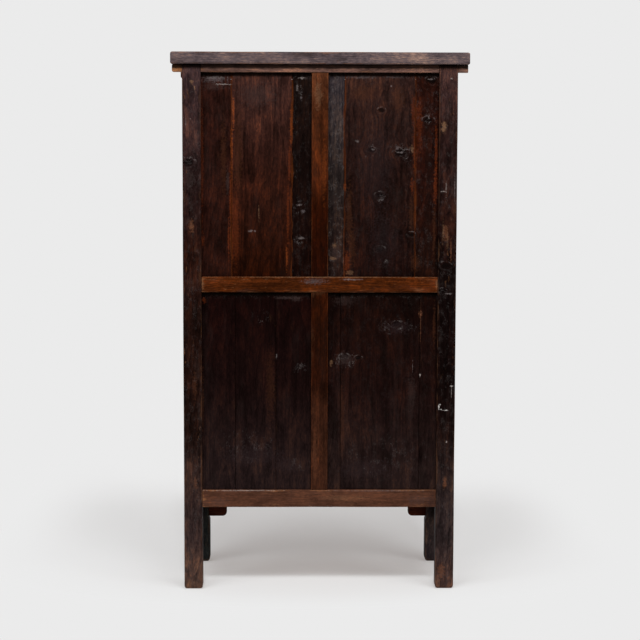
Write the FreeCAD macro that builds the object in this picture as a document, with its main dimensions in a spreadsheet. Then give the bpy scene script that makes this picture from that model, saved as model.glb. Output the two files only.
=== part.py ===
"""Two-door cabinet with an overhanging cap, framed and panelled in wood without nails.

Frame: +Z up, front towards -Y, origin on the floor under the middle of the cap.
Left and right are as seen by someone facing the doors. All sizes are in millimetres.
"""

import FreeCAD, Part
import os
import re
import Sketcher

SIZES = {
    # overall
    "height": 1830,
    "cap_width": 1002,
    "cap_depth": 500,
    "side_overhang": 38,
    "front_overhang": 38,
    "rear_overhang": 14,
    # cap: a mitred frame round a floating panel
    "cap_thickness": 40,
    "cap_frame_width": 95,
    "cap_edge_round": 5,
    "cap_panel_thickness": 16,
    "cap_panel_lip": 6,
    "cap_tongue_thickness": 8,
    "cap_batten_width": 44,
    "cap_batten_thickness": 20,
    "mitre_tenon_width": 30,
    "mitre_tenon_thickness": 10,
    "mitre_tenon_length": 26,
    # moulding under the cap
    "cornice_setback": 4,
    "cornice_round": 10,
    "cornice_return": 12,
    # posts
    "post_width": 63,
    "post_depth": 56,
    "post_round": 6,
    "foot_swell": 5,
    "foot_round": 15,
    "post_tenon_inset": 8,
    "rear_tenon_inset": 30,
    "post_tenon_side": 22,
    "post_tenon_height": 24,
    # rails
    "rail_thickness": 30,
    "rail_setback": 3,
    "side_rail_thickness": 26,
    "side_rail_setback": 6,
    "top_rail_height": 27,
    "rail_end_thickness": 20,
    "rail_end_reach": 34,
    "mid_rail_height": 53,
    "mid_rail_level": 1024,
    "bottom_rail_height": 60,
    "bottom_rail_level": 285,
    "tenon_thickness": 12,
    "tenon_length": 34,
    "side_tenon_length": 24,
    "tenon_shoulder": 8,
    "tenon_end_gap": 1,
    # back, sides and floor
    "muntin_width": 56,
    "muntin_thickness": 22,
    "muntin_setback": 6,
    "muntin_tenon_length": 15,
    "panel_thickness": 12,
    "panel_setback": 14,
    "groove_depth": 8,
    "groove_gap": 1.5,
    "batten_height": 34,
    "batten_thickness": 14,
    "dovetail_depth": 3,
    "dovetail_flare": 3,
    "floor_thickness": 14,
    "floor_drop": 15,
    "fit_gap": 0.5,
    # shelf
    "bearer_width": 25,
    "bearer_height": 30,
    "bearer_tenon_length": 20,
    "shelf_thickness": 16,
    "shelf_front_gap": 6,
    # aprons below the bottom rails
    "apron_height": 50,
    "apron_thickness": 14,
    "apron_setback": 10,
    "apron_tongue": 6,
    "spandrel_width": 66,
    "spandrel_drop": 70,
    "spandrel_round": 16,
    "side_spandrel_width": 52,
    # doors
    "door_thickness": 28,
    "door_side_gap": 2,
    "door_meeting_gap": 3,
    "door_top_gap": 3,
    "door_bottom_gap": 2.5,
    "hinge_stile_width": 58,
    "meeting_stile_width": 50,
    "door_rail_height": 58,
    "door_tenon_thickness": 9,
    "door_tenon_length": 28,
    "door_tongue_thickness": 8,
    "door_field_rise": 5,
    "door_field_margin": 20,
    "door_field_bevel": 7,
    "pivot_radius": 8,
    "pivot_length": 14,
    "pivot_gap": 0.05,
    "pivot_end_gap": 0.2,
    "socket_spare": 6,
    # pulls
    "pull_level": 1085,
    "rosette_radius": 17,
    "rosette_thickness": 3,
    "rosette_rim": 6,
    "rosette_step": 1.4,
    "pin_hole_radius": 2.3,
    "pin_leg_length": 18,
    "pin_leg_width": 3.6,
    "pin_leg_thickness": 1.2,
    "eye_radius": 5.6,
    "eye_stand": 2.5,
    "ring_radius": 20,
    "ring_wire": 2.6,
    "ring_gap": 0.25,
}

# boards of each panel, as shares of the panel's width
BACK_BOARD_SHARES = {
    "upper_right": (0.19, 0.53, 0.28),
    "upper_left": (0.22, 0.62, 0.16),
    "lower_right": (0.33, 0.36, 0.31),
    "lower_left": (0.17, 0.70, 0.13),
}
SIDE_BOARD_SHARES = (0.30, 0.38, 0.32)
SHELF_BOARD_SHARES = (0.34, 0.36, 0.30)
SIDE_BATTEN_LEVEL_SHARES = (0.22, 0.78)
DOOR_BATTEN_LEVEL_SHARES = (0.25, 0.75)

# places worked out from the sizes; +X is right, -Y is front
PLACES = {
    "body_half": "cap_width / 2 - side_overhang",
    "body_front": "front_overhang - cap_depth / 2",
    "body_rear": "cap_depth / 2 - rear_overhang",
    "cap_bottom": "height - cap_thickness",
    "post_inner": "body_half - post_width",
    "front_post_back": "body_front + post_depth",
    "rear_post_face": "body_rear - post_depth",
    "top_rail_bottom": "cap_bottom - top_rail_height",
    "mid_rail_top": "mid_rail_level + mid_rail_height",
    "bottom_rail_top": "bottom_rail_level + bottom_rail_height",
    "rear_rail_back": "body_rear - rail_setback",
    "rear_rail_front": "body_rear - rail_setback - rail_thickness",
    "front_rail_front": "body_front + rail_setback",
    "front_rail_back": "body_front + rail_setback + rail_thickness",
    "side_rail_outer": "body_half - side_rail_setback",
    "side_rail_inner": "body_half - side_rail_setback - side_rail_thickness",
    "tongue": "groove_depth - groove_gap",
    "back_panel_rear": "body_rear - panel_setback",
    "back_panel_front": "body_rear - panel_setback - panel_thickness",
    "side_panel_outer": "body_half - panel_setback",
    "side_panel_inner": "body_half - panel_setback - panel_thickness",
    "floor_top": "bottom_rail_top - floor_drop",
    "floor_bottom": "bottom_rail_top - floor_drop - floor_thickness",
    "bearer_top": "mid_rail_level + bearer_height",
    "shelf_top": "mid_rail_level + bearer_height + shelf_thickness",
    "apron_front": "body_front + apron_setback",
    "side_apron_outer": "body_half - apron_setback",
    "apron_bottom": "bottom_rail_level - apron_height",
    "spandrel_bottom": "bottom_rail_level - apron_height - spandrel_drop",
    "spandrel_inner": "post_inner - spandrel_width",
    "door_middle": "body_front + rail_setback + rail_thickness / 2",
    "door_front": "door_middle - door_thickness / 2",
    "door_rear": "door_middle + door_thickness / 2",
    "door_bottom": "bottom_rail_top + door_bottom_gap",
    "door_top": "top_rail_bottom - door_top_gap",
    "hinge_axis": "post_inner - door_side_gap - door_thickness / 2",
    "hinge_stile_inner": "post_inner - door_side_gap - hinge_stile_width",
    "meeting_edge": "door_meeting_gap / 2",
    "meeting_stile_inner": "door_meeting_gap / 2 + meeting_stile_width",
    "pull_middle": "door_meeting_gap / 2 + meeting_stile_width / 2",
    "rosette_front": "door_front - rosette_thickness",
    "eye_middle": "rosette_front - eye_stand - eye_radius",
    "ring_tube_drop": "eye_radius - pin_leg_thickness - ring_wire - ring_gap",
    "overrun": "tenon_end_gap",
}

WORD = re.compile(r"[a-z_][a-z_0-9]*")
SIDES = ("left", "right")
RING_SIDES = 6
ROSETTE_SIDES = 8

doc = FreeCAD.newDocument("cabinet")
sheet = doc.addObject("Spreadsheet::Sheet", "sizes")
for row, (alias, size) in enumerate(SIZES.items(), start=1):
    sheet.set(f"A{row}", alias)
    sheet.set(f"B{row}", str(size))
    sheet.setAlias(f"B{row}", alias)
doc.recompute()

nodes = []


def formula(text):
    """The text with every place and size written as a reference to the sheet."""

    def reference(match):
        word = match.group()
        if word in PLACES:
            return "(" + formula(PLACES[word]) + ")"
        if word in SIZES:
            return "sizes." + word
        raise ValueError(f"{word} is no size and no place")

    return WORD.sub(reference, text)


def bind(thing, settings):
    for setting, text in settings.items():
        thing.setExpression(setting, formula(text))


def place(thing, x, y, z):
    bind(thing, {"Placement.Base.x": x, "Placement.Base.y": y, "Placement.Base.z": z})


def turn(thing, axis, degrees):
    thing.Placement = FreeCAD.Placement(FreeCAD.Vector(), FreeCAD.Rotation(axis, degrees))


def length(span):
    low, high = span
    return f"({high}) - ({low})"


def middle(span):
    low, high = span
    return f"(({low}) + ({high})) / 2"


def sided(side, low, high):
    """A span of X on the right, or its mirror image on the left."""
    if side == "right":
        return (low, high)
    return (f"-({high})", f"-({low})")


def sided_place(side, x):
    return x if side == "right" else f"-({x})"


def block(x, y, z):
    box = doc.addObject("Part::Box", "block")
    bind(box, {"Length": length(x), "Width": length(y), "Height": length(z)})
    place(box, x[0], y[0], z[0])
    return box


def round_bar(x, y, z, radius):
    """An upright round bar; z is its span."""
    bar = doc.addObject("Part::Cylinder", "bar")
    bind(bar, {"Radius": radius, "Height": length(z)})
    place(bar, x, y, z[0])
    return bar


def cross_bar(x, y, z, radius):
    """A round bar that runs front to back; y is its span."""
    bar = doc.addObject("Part::Cylinder", "cross_bar")
    turn(bar, FreeCAD.Vector(1, 0, 0), -90)
    bind(bar, {"Radius": radius, "Height": length(y)})
    place(bar, x, y[0], z)
    return bar


def wide_bar(x, y, z, radius):
    """A round bar that runs from side to side; x is its span."""
    bar = doc.addObject("Part::Cylinder", "wide_bar")
    turn(bar, FreeCAD.Vector(0, 1, 0), 90)
    bind(bar, {"Radius": radius, "Height": length(x)})
    place(bar, x[0], y, z)
    return bar


def tapered_block(y, x_at_low, x_at_high, z_at_low, z_at_high):
    """A block whose faces at the two ends of its Y span differ in size."""
    wedge = doc.addObject("Part::Wedge", "wedge")
    bind(wedge, {"Ymin": y[0], "Ymax": y[1]})
    bind(wedge, {"Xmin": x_at_low[0], "Xmax": x_at_low[1], "X2min": x_at_high[0], "X2max": x_at_high[1]})
    bind(wedge, {"Zmin": z_at_low[0], "Zmax": z_at_low[1], "Z2min": z_at_high[0], "Z2max": z_at_high[1]})
    return wedge


def fused(*parts):
    if len(parts) == 1:
        return parts[0]
    whole = doc.addObject("Part::MultiFuse", "fused")
    whole.Shapes = list(parts)
    whole.Refine = True
    return whole


def cut(base, *tools):
    rest = doc.addObject("Part::Cut", "cut")
    rest.Base = base
    rest.Tool = fused(*tools)
    rest.Refine = True
    return rest


def common(first, second):
    both = doc.addObject("Part::Common", "common")
    both.Base = first
    both.Tool = second
    both.Refine = True
    return both


def group(*parts):
    gathered = doc.addObject("Part::Compound", "group")
    gathered.Links = list(parts)
    return gathered


def node(label, thing):
    thing.Label = label
    nodes.append(thing)
    return thing


def plane(body, role):
    return next(feature for feature in body.Origin.OriginFeatures if feature.Role == role)


def edges_along(shape, axis, **ends):
    """Names of a block's edges that run along an axis, at the low or high end of other axes."""
    found = []
    for number, edge in enumerate(shape.Edges, start=1):
        box, centre = edge.BoundBox, edge.CenterOfMass
        spans = {"x": box.XLength, "y": box.YLength, "z": box.ZLength}
        if max(spans, key=spans.get) != axis:
            continue
        middles = shape.BoundBox.Center
        wanted = [(getattr(centre, k) > getattr(middles, k)) == (end == "high") for k, end in ends.items()]
        if all(wanted):
            found.append(f"Edge{number}")
    return found


def rounded_block(x, y, z, radius, *edges):
    """A padded rectangle with rounded edges; each of edges is an axis and the ends it is at."""
    body = doc.addObject("PartDesign::Body", "rounded")
    outline = body.newObject("Sketcher::SketchObject", "outline")
    outline.AttachmentSupport = [(plane(body, "XY_Plane"), "")]
    outline.MapMode = "FlatFace"
    for axis, low in zip("xyz", (x[0], y[0], z[0])):
        bind(outline, {f"AttachmentOffset.Base.{axis}": low})
    corners = [FreeCAD.Vector(*c, 0) for c in ((0, 0), (1, 0), (1, 1), (0, 1))]
    for start, end in zip(corners, corners[1:] + corners[:1]):
        outline.addGeometry(Part.LineSegment(start, end))
    for side in range(4):
        outline.addConstraint(Sketcher.Constraint("Coincident", side, 2, (side + 1) % 4, 1))
    for side, way in enumerate(("Horizontal", "Vertical", "Horizontal", "Vertical")):
        outline.addConstraint(Sketcher.Constraint(way, side))
    outline.addConstraint(Sketcher.Constraint("Coincident", 0, 1, -1, 1))
    for way, side, span in (("DistanceX", 0, x), ("DistanceY", 1, y)):
        number = outline.addConstraint(Sketcher.Constraint(way, side, 1, side, 2, 1))
        bind(outline, {f"Constraints[{number}]": length(span)})
    pad = body.newObject("PartDesign::Pad", "pad")
    pad.Profile = outline
    bind(pad, {"Length": length(z)})
    doc.recompute()
    rounding = body.newObject("PartDesign::Fillet", "rounding")
    names = [name for axis, ends in edges for name in edges_along(pad.Shape, axis, **ends)]
    rounding.Base = (pad, names)
    bind(rounding, {"Radius": radius})
    doc.recompute()
    return body


def boards(shares, span, make):
    """Boards laid edge to edge across a span, each with its share of it."""
    low, high = span
    laid, start = [], 0
    for share in shares:
        end = start + share
        first = f"({low}) + ({length(span)}) * {start:.4f}"
        last = f"({low}) + ({length(span)}) * {end:.4f}"
        laid.append(make((first, last)))
        start = end
    return group(*laid)


def grown(span, by):
    low, high = span
    return (f"({low}) - ({by})", f"({high}) + ({by})")


def shrunk(span, by):
    low, high = span
    return (f"({low}) + ({by})", f"({high}) - ({by})")


def about(centre, size):
    return (f"({centre}) - ({size}) / 2", f"({centre}) + ({size}) / 2")


def dovetail_along_x(x, y, z):
    """A dovetailed tongue that is widest at the low end of y."""
    return tapered_block(y, x, x, z, shrunk(z, "dovetail_flare"))


# where the members lie
REAR_RAIL_Y = ("rear_rail_front", "rear_rail_back")
FRONT_RAIL_Y = ("front_rail_front", "front_rail_back")
BACK_PANEL_Y = ("back_panel_front", "back_panel_rear")
MUNTIN_Y = ("body_rear - muntin_setback - muntin_thickness", "body_rear - muntin_setback")
BETWEEN_POSTS_X = ("-(post_inner)", "post_inner")
BETWEEN_POSTS_Y = ("front_post_back", "rear_post_face")
POST_Z = ("0 * height", "cap_bottom")
TOP_RAIL_Z = ("top_rail_bottom", "cap_bottom")
MID_RAIL_Z = ("mid_rail_level", "mid_rail_top")
BOTTOM_RAIL_Z = ("bottom_rail_level", "bottom_rail_top")
UPPER_BACK_Z = ("mid_rail_top", "top_rail_bottom")
LOWER_BACK_Z = ("bottom_rail_top", "mid_rail_level")
SIDE_PANEL_Z = ("bottom_rail_top", "top_rail_bottom")
BEARER_Z = ("mid_rail_level", "bearer_top")
DOOR_Z = ("door_bottom", "door_top")
DOOR_Y = ("door_front", "door_rear")
DOOR_TONGUE_Y = about("door_middle", "door_tongue_thickness")


def tenon_z(rail_z):
    return shrunk(rail_z, "tenon_shoulder")


def cross_tenon(rail_y, rail_z, extra="0 * tenon_length"):
    """The tenons of a rail that runs from side to side, right through its length."""
    reach = grown(BETWEEN_POSTS_X, f"tenon_length + {extra}")
    return block(reach, about(middle(rail_y), "tenon_thickness"), tenon_z(rail_z))


def side_tenon(side, rail_x, rail_z, reach, extra="0 * tenon_length"):
    """The tenons of a rail that runs from front to back, right through its length."""
    x = sided(side, *about(middle(rail_x), "tenon_thickness"))
    return block(x, grown(BETWEEN_POSTS_Y, f"{reach} + {extra}"), tenon_z(rail_z))


SIDE_RAIL_X = ("side_rail_inner", "side_rail_outer")
BEARER_X = ("side_panel_inner - bearer_width", "side_panel_inner")
SIDE_PANEL_X = ("side_panel_inner", "side_panel_outer")


def post_tenon(side, end, extra="0 * post_tenon_height"):
    """The tenon on top of a post, that enters the cap."""
    x = sided(side, "post_inner + post_tenon_inset", "post_inner + post_tenon_inset + post_tenon_side")
    y = ("body_front + post_tenon_inset", "body_front + post_tenon_inset + post_tenon_side")
    if end == "rear":
        y = ("body_rear - rear_tenon_inset - post_tenon_side", "body_rear - rear_tenon_inset")
    return block(x, y, ("cap_bottom", f"cap_bottom + post_tenon_height + {extra}"))


def top_rail_ends():
    """The thinner ends of the rear top rail, that lie in notched posts and run out under the cap."""
    x = grown(("-(body_half)", "body_half"), "rail_end_reach")
    return block(x, about(middle(REAR_RAIL_Y), "rail_end_thickness"), TOP_RAIL_Z)


def front_leg(side, x, y):
    """A front post, wider below its spandrel, with the inner corner of its foot worn round."""
    inner = "low" if side == "right" else "high"
    foot_x = sided(side, "post_inner - foot_swell", "body_half")
    foot_z = ("0 * height", "spandrel_bottom")
    foot = common(
        rounded_block(foot_x, y, foot_z, "post_round", ("z", {})),
        rounded_block(foot_x, y, foot_z, "foot_round", ("y", {"x": inner, "z": "low"})),
    )
    return fused(rounded_block(x, y, ("spandrel_bottom", "cap_bottom"), "post_round", ("z", {})), foot)


def post(side, end):
    """A post with its top tenon, mortises, panel grooves and apron slots."""
    front = end == "front"
    x = sided(side, "post_inner", "body_half")
    y = ("body_front", "front_post_back") if front else ("rear_post_face", "body_rear")
    bar = front_leg(side, x, y) if front else rounded_block(x, y, POST_Z, "post_round", ("z", {}))
    groove_y = (
        ("front_post_back - groove_depth", "front_post_back")
        if front
        else ("rear_post_face", "rear_post_face + groove_depth")
    )
    side_groove = block(
        sided(side, *SIDE_PANEL_X), groove_y, grown(SIDE_PANEL_Z, "groove_depth")
    )
    tools = [side_groove]
    for rail_z in (TOP_RAIL_Z, BOTTOM_RAIL_Z):
        tools.append(side_tenon(side, SIDE_RAIL_X, rail_z, "side_tenon_length", "tenon_end_gap"))
    tools.append(side_tenon(side, BEARER_X, BEARER_Z, "bearer_tenon_length", "tenon_end_gap"))
    tools.append(side_apron_tongue(side, "tenon_end_gap"))
    if front:
        tools.append(spandrel_tongue(side, "tenon_end_gap"))
        tools += [cross_tenon(FRONT_RAIL_Y, z, "tenon_end_gap") for z in (TOP_RAIL_Z, BOTTOM_RAIL_Z)]
    else:
        tools += [cross_tenon(REAR_RAIL_Y, z, "tenon_end_gap") for z in (MID_RAIL_Z, BOTTOM_RAIL_Z)]
        tools.append(top_rail_ends())
        back_groove_x = sided(side, "post_inner", "post_inner + groove_depth")
        back_groove_z = grown(SIDE_PANEL_Z, "groove_depth")
        tools.append(block(back_groove_x, BACK_PANEL_Y, back_groove_z))
    node(f"{end}_{side}_post", cut(fused(bar, post_tenon(side, end)), *tools))


def groove_in_rail(rail_z, above):
    """The groove that takes the back panels, in a rail's top or bottom edge."""
    z = (
        (f"({rail_z[1]}) - groove_depth", rail_z[1])
        if above
        else (rail_z[0], f"({rail_z[0]}) + groove_depth")
    )
    return block(grown(BETWEEN_POSTS_X, "groove_depth"), BACK_PANEL_Y, z)


def muntin_tenons(back_z, extra="0 * muntin_tenon_length"):
    x = about("0 * muntin_width", "muntin_width - 2 * tenon_shoulder")
    y = about(middle(MUNTIN_Y), "tenon_thickness")
    return block(x, y, grown(back_z, f"muntin_tenon_length + {extra}"))


def floor_groove_y(inner_face, into):
    """The groove for the floor boards, in a rail's inner face; into is the way it is sunk along Y."""
    y = (inner_face, f"{inner_face} + groove_depth")
    if into < 0:
        y = (f"{inner_face} - groove_depth", inner_face)
    return block(BETWEEN_POSTS_X, y, ("floor_bottom", "floor_top"))


def rear_rails():
    top = fused(block(BETWEEN_POSTS_X, REAR_RAIL_Y, TOP_RAIL_Z), top_rail_ends())
    upper_tenons = muntin_tenons(UPPER_BACK_Z, "tenon_end_gap")
    lower_tenons = muntin_tenons(LOWER_BACK_Z, "tenon_end_gap")
    node("rear_top_rail", cut(top, groove_in_rail(TOP_RAIL_Z, False), upper_tenons))
    mid = fused(block(BETWEEN_POSTS_X, REAR_RAIL_Y, MID_RAIL_Z), cross_tenon(REAR_RAIL_Y, MID_RAIL_Z))
    mid_grooves = (groove_in_rail(MID_RAIL_Z, True), groove_in_rail(MID_RAIL_Z, False))
    node("rear_mid_rail", cut(mid, *mid_grooves, upper_tenons, lower_tenons))
    low = fused(
        block(BETWEEN_POSTS_X, REAR_RAIL_Y, BOTTOM_RAIL_Z), cross_tenon(REAR_RAIL_Y, BOTTOM_RAIL_Z)
    )
    low_cuts = (groove_in_rail(BOTTOM_RAIL_Z, True), floor_groove_y("rear_rail_front", 1), lower_tenons)
    node("rear_bottom_rail", cut(low, *low_cuts))


def pivot_sockets(z):
    return [
        round_bar(sided_place(side, "hinge_axis"), "door_middle", z, "pivot_radius + pivot_gap")
        for side in SIDES
    ]


def front_rails():
    top = fused(block(BETWEEN_POSTS_X, FRONT_RAIL_Y, TOP_RAIL_Z), cross_tenon(FRONT_RAIL_Y, TOP_RAIL_Z))
    top_sockets = pivot_sockets(("top_rail_bottom", "top_rail_bottom + pivot_length + socket_spare"))
    node("front_top_rail", cut(top, *top_sockets))
    low = fused(
        block(BETWEEN_POSTS_X, FRONT_RAIL_Y, BOTTOM_RAIL_Z), cross_tenon(FRONT_RAIL_Y, BOTTOM_RAIL_Z)
    )
    low_sockets = pivot_sockets(("bottom_rail_top - pivot_length", "bottom_rail_top"))
    node("front_bottom_rail", cut(low, *low_sockets, floor_groove_y("front_rail_back", -1)))


def side_rails(side):
    x = sided(side, *SIDE_RAIL_X)
    panel_x = sided(side, *SIDE_PANEL_X)
    for name, z, groove_z in (
        ("top", TOP_RAIL_Z, ("top_rail_bottom", "top_rail_bottom + groove_depth")),
        ("bottom", BOTTOM_RAIL_Z, ("bottom_rail_top - groove_depth", "bottom_rail_top")),
    ):
        bar = fused(
            block(x, BETWEEN_POSTS_Y, z), side_tenon(side, SIDE_RAIL_X, z, "side_tenon_length")
        )
        cuts = [block(panel_x, BETWEEN_POSTS_Y, groove_z)]
        if name == "bottom":
            floor_x = sided(side, "side_rail_inner", "side_rail_inner + groove_depth")
            cuts.append(block(floor_x, BETWEEN_POSTS_Y, ("floor_bottom", "floor_top")))
        node(f"{side}_{name}_rail", cut(bar, *cuts))


def muntin(name, back_z):
    x = about("0 * muntin_width", "muntin_width")
    bar = fused(block(x, MUNTIN_Y, back_z), muntin_tenons(back_z))
    edge = "muntin_width / 2"
    grooves = [
        block(sided(side, f"{edge} - groove_depth", edge), BACK_PANEL_Y, grown(back_z, "groove_depth"))
        for side in SIDES
    ]
    node(f"{name}_muntin", cut(bar, *grooves))


def back_panel(side, name, back_z):
    """Boards glued edge to edge, whose edges float in the grooves round them."""
    x = sided(side, "muntin_width / 2 - tongue", "post_inner + tongue")
    z = grown(back_z, "tongue")
    shares = BACK_BOARD_SHARES[f"{name}_{side}"]
    node(f"{name}_{side}_back_panel", boards(shares, x, lambda span: block(span, BACK_PANEL_Y, z)))


def side_batten_z(share):
    low, high = SIDE_PANEL_Z
    return about(f"({low}) + ({length(SIDE_PANEL_Z)}) * {share}", "batten_height")


def side_batten(side, share, gap):
    """A batten across a side panel's inner face, held by its dovetailed tongue."""
    z = side_batten_z(share)
    y = shrunk(BETWEEN_POSTS_Y, gap)
    bar = block(sided(side, "side_panel_inner - batten_thickness", "side_panel_inner"), y, z)
    return fused(bar, side_dovetail(side, y, z))


def side_dovetail(side, y, z):
    """Widest where it is deepest in the panel; it runs from front to back."""
    deep = ("side_panel_inner", "side_panel_inner + dovetail_depth")
    narrow = shrunk(z, "dovetail_flare")
    tail = tapered_block(deep, (f"-({y[1]})", f"-({y[0]})"), (f"-({y[1]})", f"-({y[0]})"), narrow, z)
    turn(tail, FreeCAD.Vector(0, 0, 1), -90)
    if side == "left":
        flipped = tapered_block(deep, y, y, narrow, z)
        turn(flipped, FreeCAD.Vector(0, 0, 1), 90)
        return flipped
    return tail


def side_panel(side):
    x = sided(side, *SIDE_PANEL_X)
    y = grown(BETWEEN_POSTS_Y, "tongue")
    z = grown(SIDE_PANEL_Z, "tongue")

    def board(span):
        return cut(
            block(x, span, z),
            *[side_dovetail(side, y, side_batten_z(share)) for share in SIDE_BATTEN_LEVEL_SHARES],
        )

    node(f"{side}_side_panel", boards(SIDE_BOARD_SHARES, y, board))
    battens = [side_batten(side, share, "fit_gap") for share in SIDE_BATTEN_LEVEL_SHARES]
    node(f"{side}_side_battens", group(*battens))


def floor():
    x = ("-(side_rail_inner) - tongue", "side_rail_inner + tongue")
    y = ("front_rail_back - tongue", "rear_rail_front + tongue")
    z = ("floor_bottom", "floor_top")
    corners = []
    for side in SIDES:
        corner_x = sided(side, "post_inner - fit_gap", "body_half")
        corners.append(block(corner_x, ("body_front", "front_post_back + fit_gap"), z))
        corners.append(block(corner_x, ("rear_post_face - fit_gap", "body_rear"), z))
    node("floor_boards", cut(block(x, y, z), *corners))


def shelf():
    for side in SIDES:
        bar = block(sided(side, *BEARER_X), BETWEEN_POSTS_Y, BEARER_Z)
        tenon = side_tenon(side, BEARER_X, BEARER_Z, "bearer_tenon_length")
        node(f"{side}_shelf_bearer", fused(bar, tenon))
    x = ("-(side_panel_inner) + fit_gap", "side_panel_inner - fit_gap")
    z = ("bearer_top", "shelf_top")
    y = ("front_rail_back + shelf_front_gap", "rear_rail_front - fit_gap")
    corners = []
    for side in SIDES:
        corner_x = sided(side, "post_inner - fit_gap", "body_half")
        corners.append(block(corner_x, ("body_front", "front_post_back + fit_gap"), z))
        corners.append(block(corner_x, ("rear_post_face - fit_gap", "body_rear"), z))

    def board(span):
        return cut(block(x, span, z), *corners)

    node("shelf_boards", boards(SHELF_BOARD_SHARES, y, board))


def spandrel_tongue(side, extra="0 * apron_tongue"):
    """The tongue that holds a front spandrel in its post."""
    x = sided(side, "post_inner - apron_tongue", f"post_inner + apron_tongue + {extra}")
    y = about("apron_front + apron_thickness / 2", "apron_thickness / 2")
    z = ("spandrel_bottom + spandrel_round", "bottom_rail_level")
    return block(x, y, z)


def apron_tongues(extra="0 * apron_tongue"):
    x = (f"-(spandrel_inner) - apron_tongue - {extra}", f"spandrel_inner + apron_tongue + {extra}")
    y = about("apron_front + apron_thickness / 2", "apron_thickness / 2")
    return block(x, y, ("apron_bottom + tenon_shoulder", "bottom_rail_level"))


def front_apron():
    """A straight apron held between two spandrels that hang lower beside the posts."""
    y = ("apron_front", "apron_front + apron_thickness")
    board = block(("-(spandrel_inner)", "spandrel_inner"), y, ("apron_bottom", "bottom_rail_level"))
    node("front_apron", fused(board, apron_tongues()))
    for side in SIDES:
        inner_end = "low" if side == "right" else "high"
        head = rounded_block(
            sided(side, "spandrel_inner", "post_inner"),
            y,
            ("spandrel_bottom", "bottom_rail_level"),
            "spandrel_round",
            ("y", {"x": inner_end, "z": "low"}),
        )
        whole = fused(head, spandrel_tongue(side))
        node(f"front_{side}_spandrel", cut(whole, apron_tongues("tenon_end_gap")))


def side_apron_tongue(side, extra="0 * apron_tongue"):
    x = sided(side, *about("side_apron_outer - apron_thickness / 2", "apron_thickness / 2"))
    y = grown(BETWEEN_POSTS_Y, f"apron_tongue + {extra}")
    return block(x, y, ("spandrel_bottom + spandrel_round", "bottom_rail_level"))


def side_apron(side):
    """One board sawn to an apron with a spandrel at each end."""
    x = sided(side, "side_apron_outer - apron_thickness", "side_apron_outer")
    board_z = ("spandrel_bottom", "bottom_rail_level")
    board = block(x, BETWEEN_POSTS_Y, board_z)
    gap_y = shrunk(BETWEEN_POSTS_Y, "side_spandrel_width")
    whole = fused(board, side_apron_tongue(side))
    gap = block(x, gap_y, ("spandrel_bottom - overrun", "apron_bottom"))
    corners = []
    for end, inner in (("front", 0), ("rear", 1)):
        edge = gap_y[inner]
        corner_y = (edge, f"({edge}) + spandrel_round")
        if end == "front":
            corner_y = (f"({edge}) - spandrel_round", edge)
        corner_z = ("spandrel_bottom", "spandrel_bottom + spandrel_round")
        quarter = doc.addObject("Part::Cylinder", "quarter")
        turn(quarter, FreeCAD.Vector(0, 1, 0), 90)
        bind(quarter, {"Radius": "spandrel_round", "Height": length(x)})
        place(quarter, x[0], corner_y[0] if end == "front" else corner_y[1], corner_z[1])
        corners.append(cut(block(x, corner_y, corner_z), quarter))
    node(f"{side}_apron", cut(whole, gap, *corners))


def cap_groove():
    """The space that the cap panel's tongue floats in, as one slab."""
    reach = "cap_frame_width - groove_depth"
    x = ("-(cap_width / 2) + " + reach, "cap_width / 2 - (" + reach + ")")
    y = ("-(cap_depth / 2) + " + reach, "cap_depth / 2 - (" + reach + ")")
    high = "height - cap_panel_lip"
    return block(x, y, (f"{high} - cap_tongue_thickness", high))


def mitre_tenon(side, end, extra="0 * mitre_tenon_length"):
    """The hidden tenon of a cap end, that holds its mitre."""
    centre = "body_half - side_overhang / 4"
    x = sided(side, *about(centre, "mitre_tenon_width"))
    low = "cap_depth / 2 - cap_width / 2 + body_half - side_overhang / 4 - mitre_tenon_width / 2"
    y = (low, f"{low} + mitre_tenon_width / 2 + mitre_tenon_length + {extra}")
    if end == "front":
        y = (f"-({y[1]})", f"-({y[0]})")
    z = ("cap_bottom + tenon_shoulder", "cap_bottom + tenon_shoulder + mitre_tenon_thickness")
    return block(x, y, z)


def cap_member(x, y, outline, edges):
    """A rounded bar of the cap's frame, cut to its mitres."""
    bar = rounded_block(x, y, ("cap_bottom", "height"), "cap_edge_round", *edges)
    return common(bar, outline)


def cap():
    half_x, half_y = "cap_width / 2", "cap_depth / 2"
    inner_x, inner_y = "(cap_width / 2 - cap_frame_width)", "(cap_depth / 2 - cap_frame_width)"
    z = ("cap_bottom", "height")
    long_x, short_x = (f"-{half_x}", half_x), (f"-{inner_x}", inner_x)
    long_y, short_y = (f"-{half_y}", half_y), (f"-{inner_y}", inner_y)
    for end in ("front", "rear"):
        y = (f"-{half_y}", f"-{inner_y}") if end == "front" else (inner_y, half_y)
        at_low, at_high = (long_x, short_x) if end == "front" else (short_x, long_x)
        outline = tapered_block(y, at_low, at_high, z, z)
        outer = "low" if end == "front" else "high"
        member = cap_member(long_x, y, outline, [("x", {"y": outer})])
        mortises = [mitre_tenon(side, end, "tenon_end_gap") for side in SIDES]
        mortises += [post_tenon(side, end, "tenon_end_gap") for side in SIDES]
        node(f"cap_{end}", cut(member, cap_groove(), *mortises))
    for side in SIDES:
        x = sided(side, inner_x, half_x)
        outline = tapered_block((inner_x, half_x), short_y, long_y, z, z)
        turn(outline, FreeCAD.Vector(0, 0, 1), -90 if side == "right" else 90)
        outer = "high" if side == "right" else "low"
        member = cap_member(x, long_y, outline, [("y", {"x": outer})])
        tenons = [mitre_tenon(side, end) for end in ("front", "rear")]
        node(f"cap_{side}", cut(fused(member, *tenons), cap_groove()))
    cap_panel(short_x, short_y)


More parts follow.
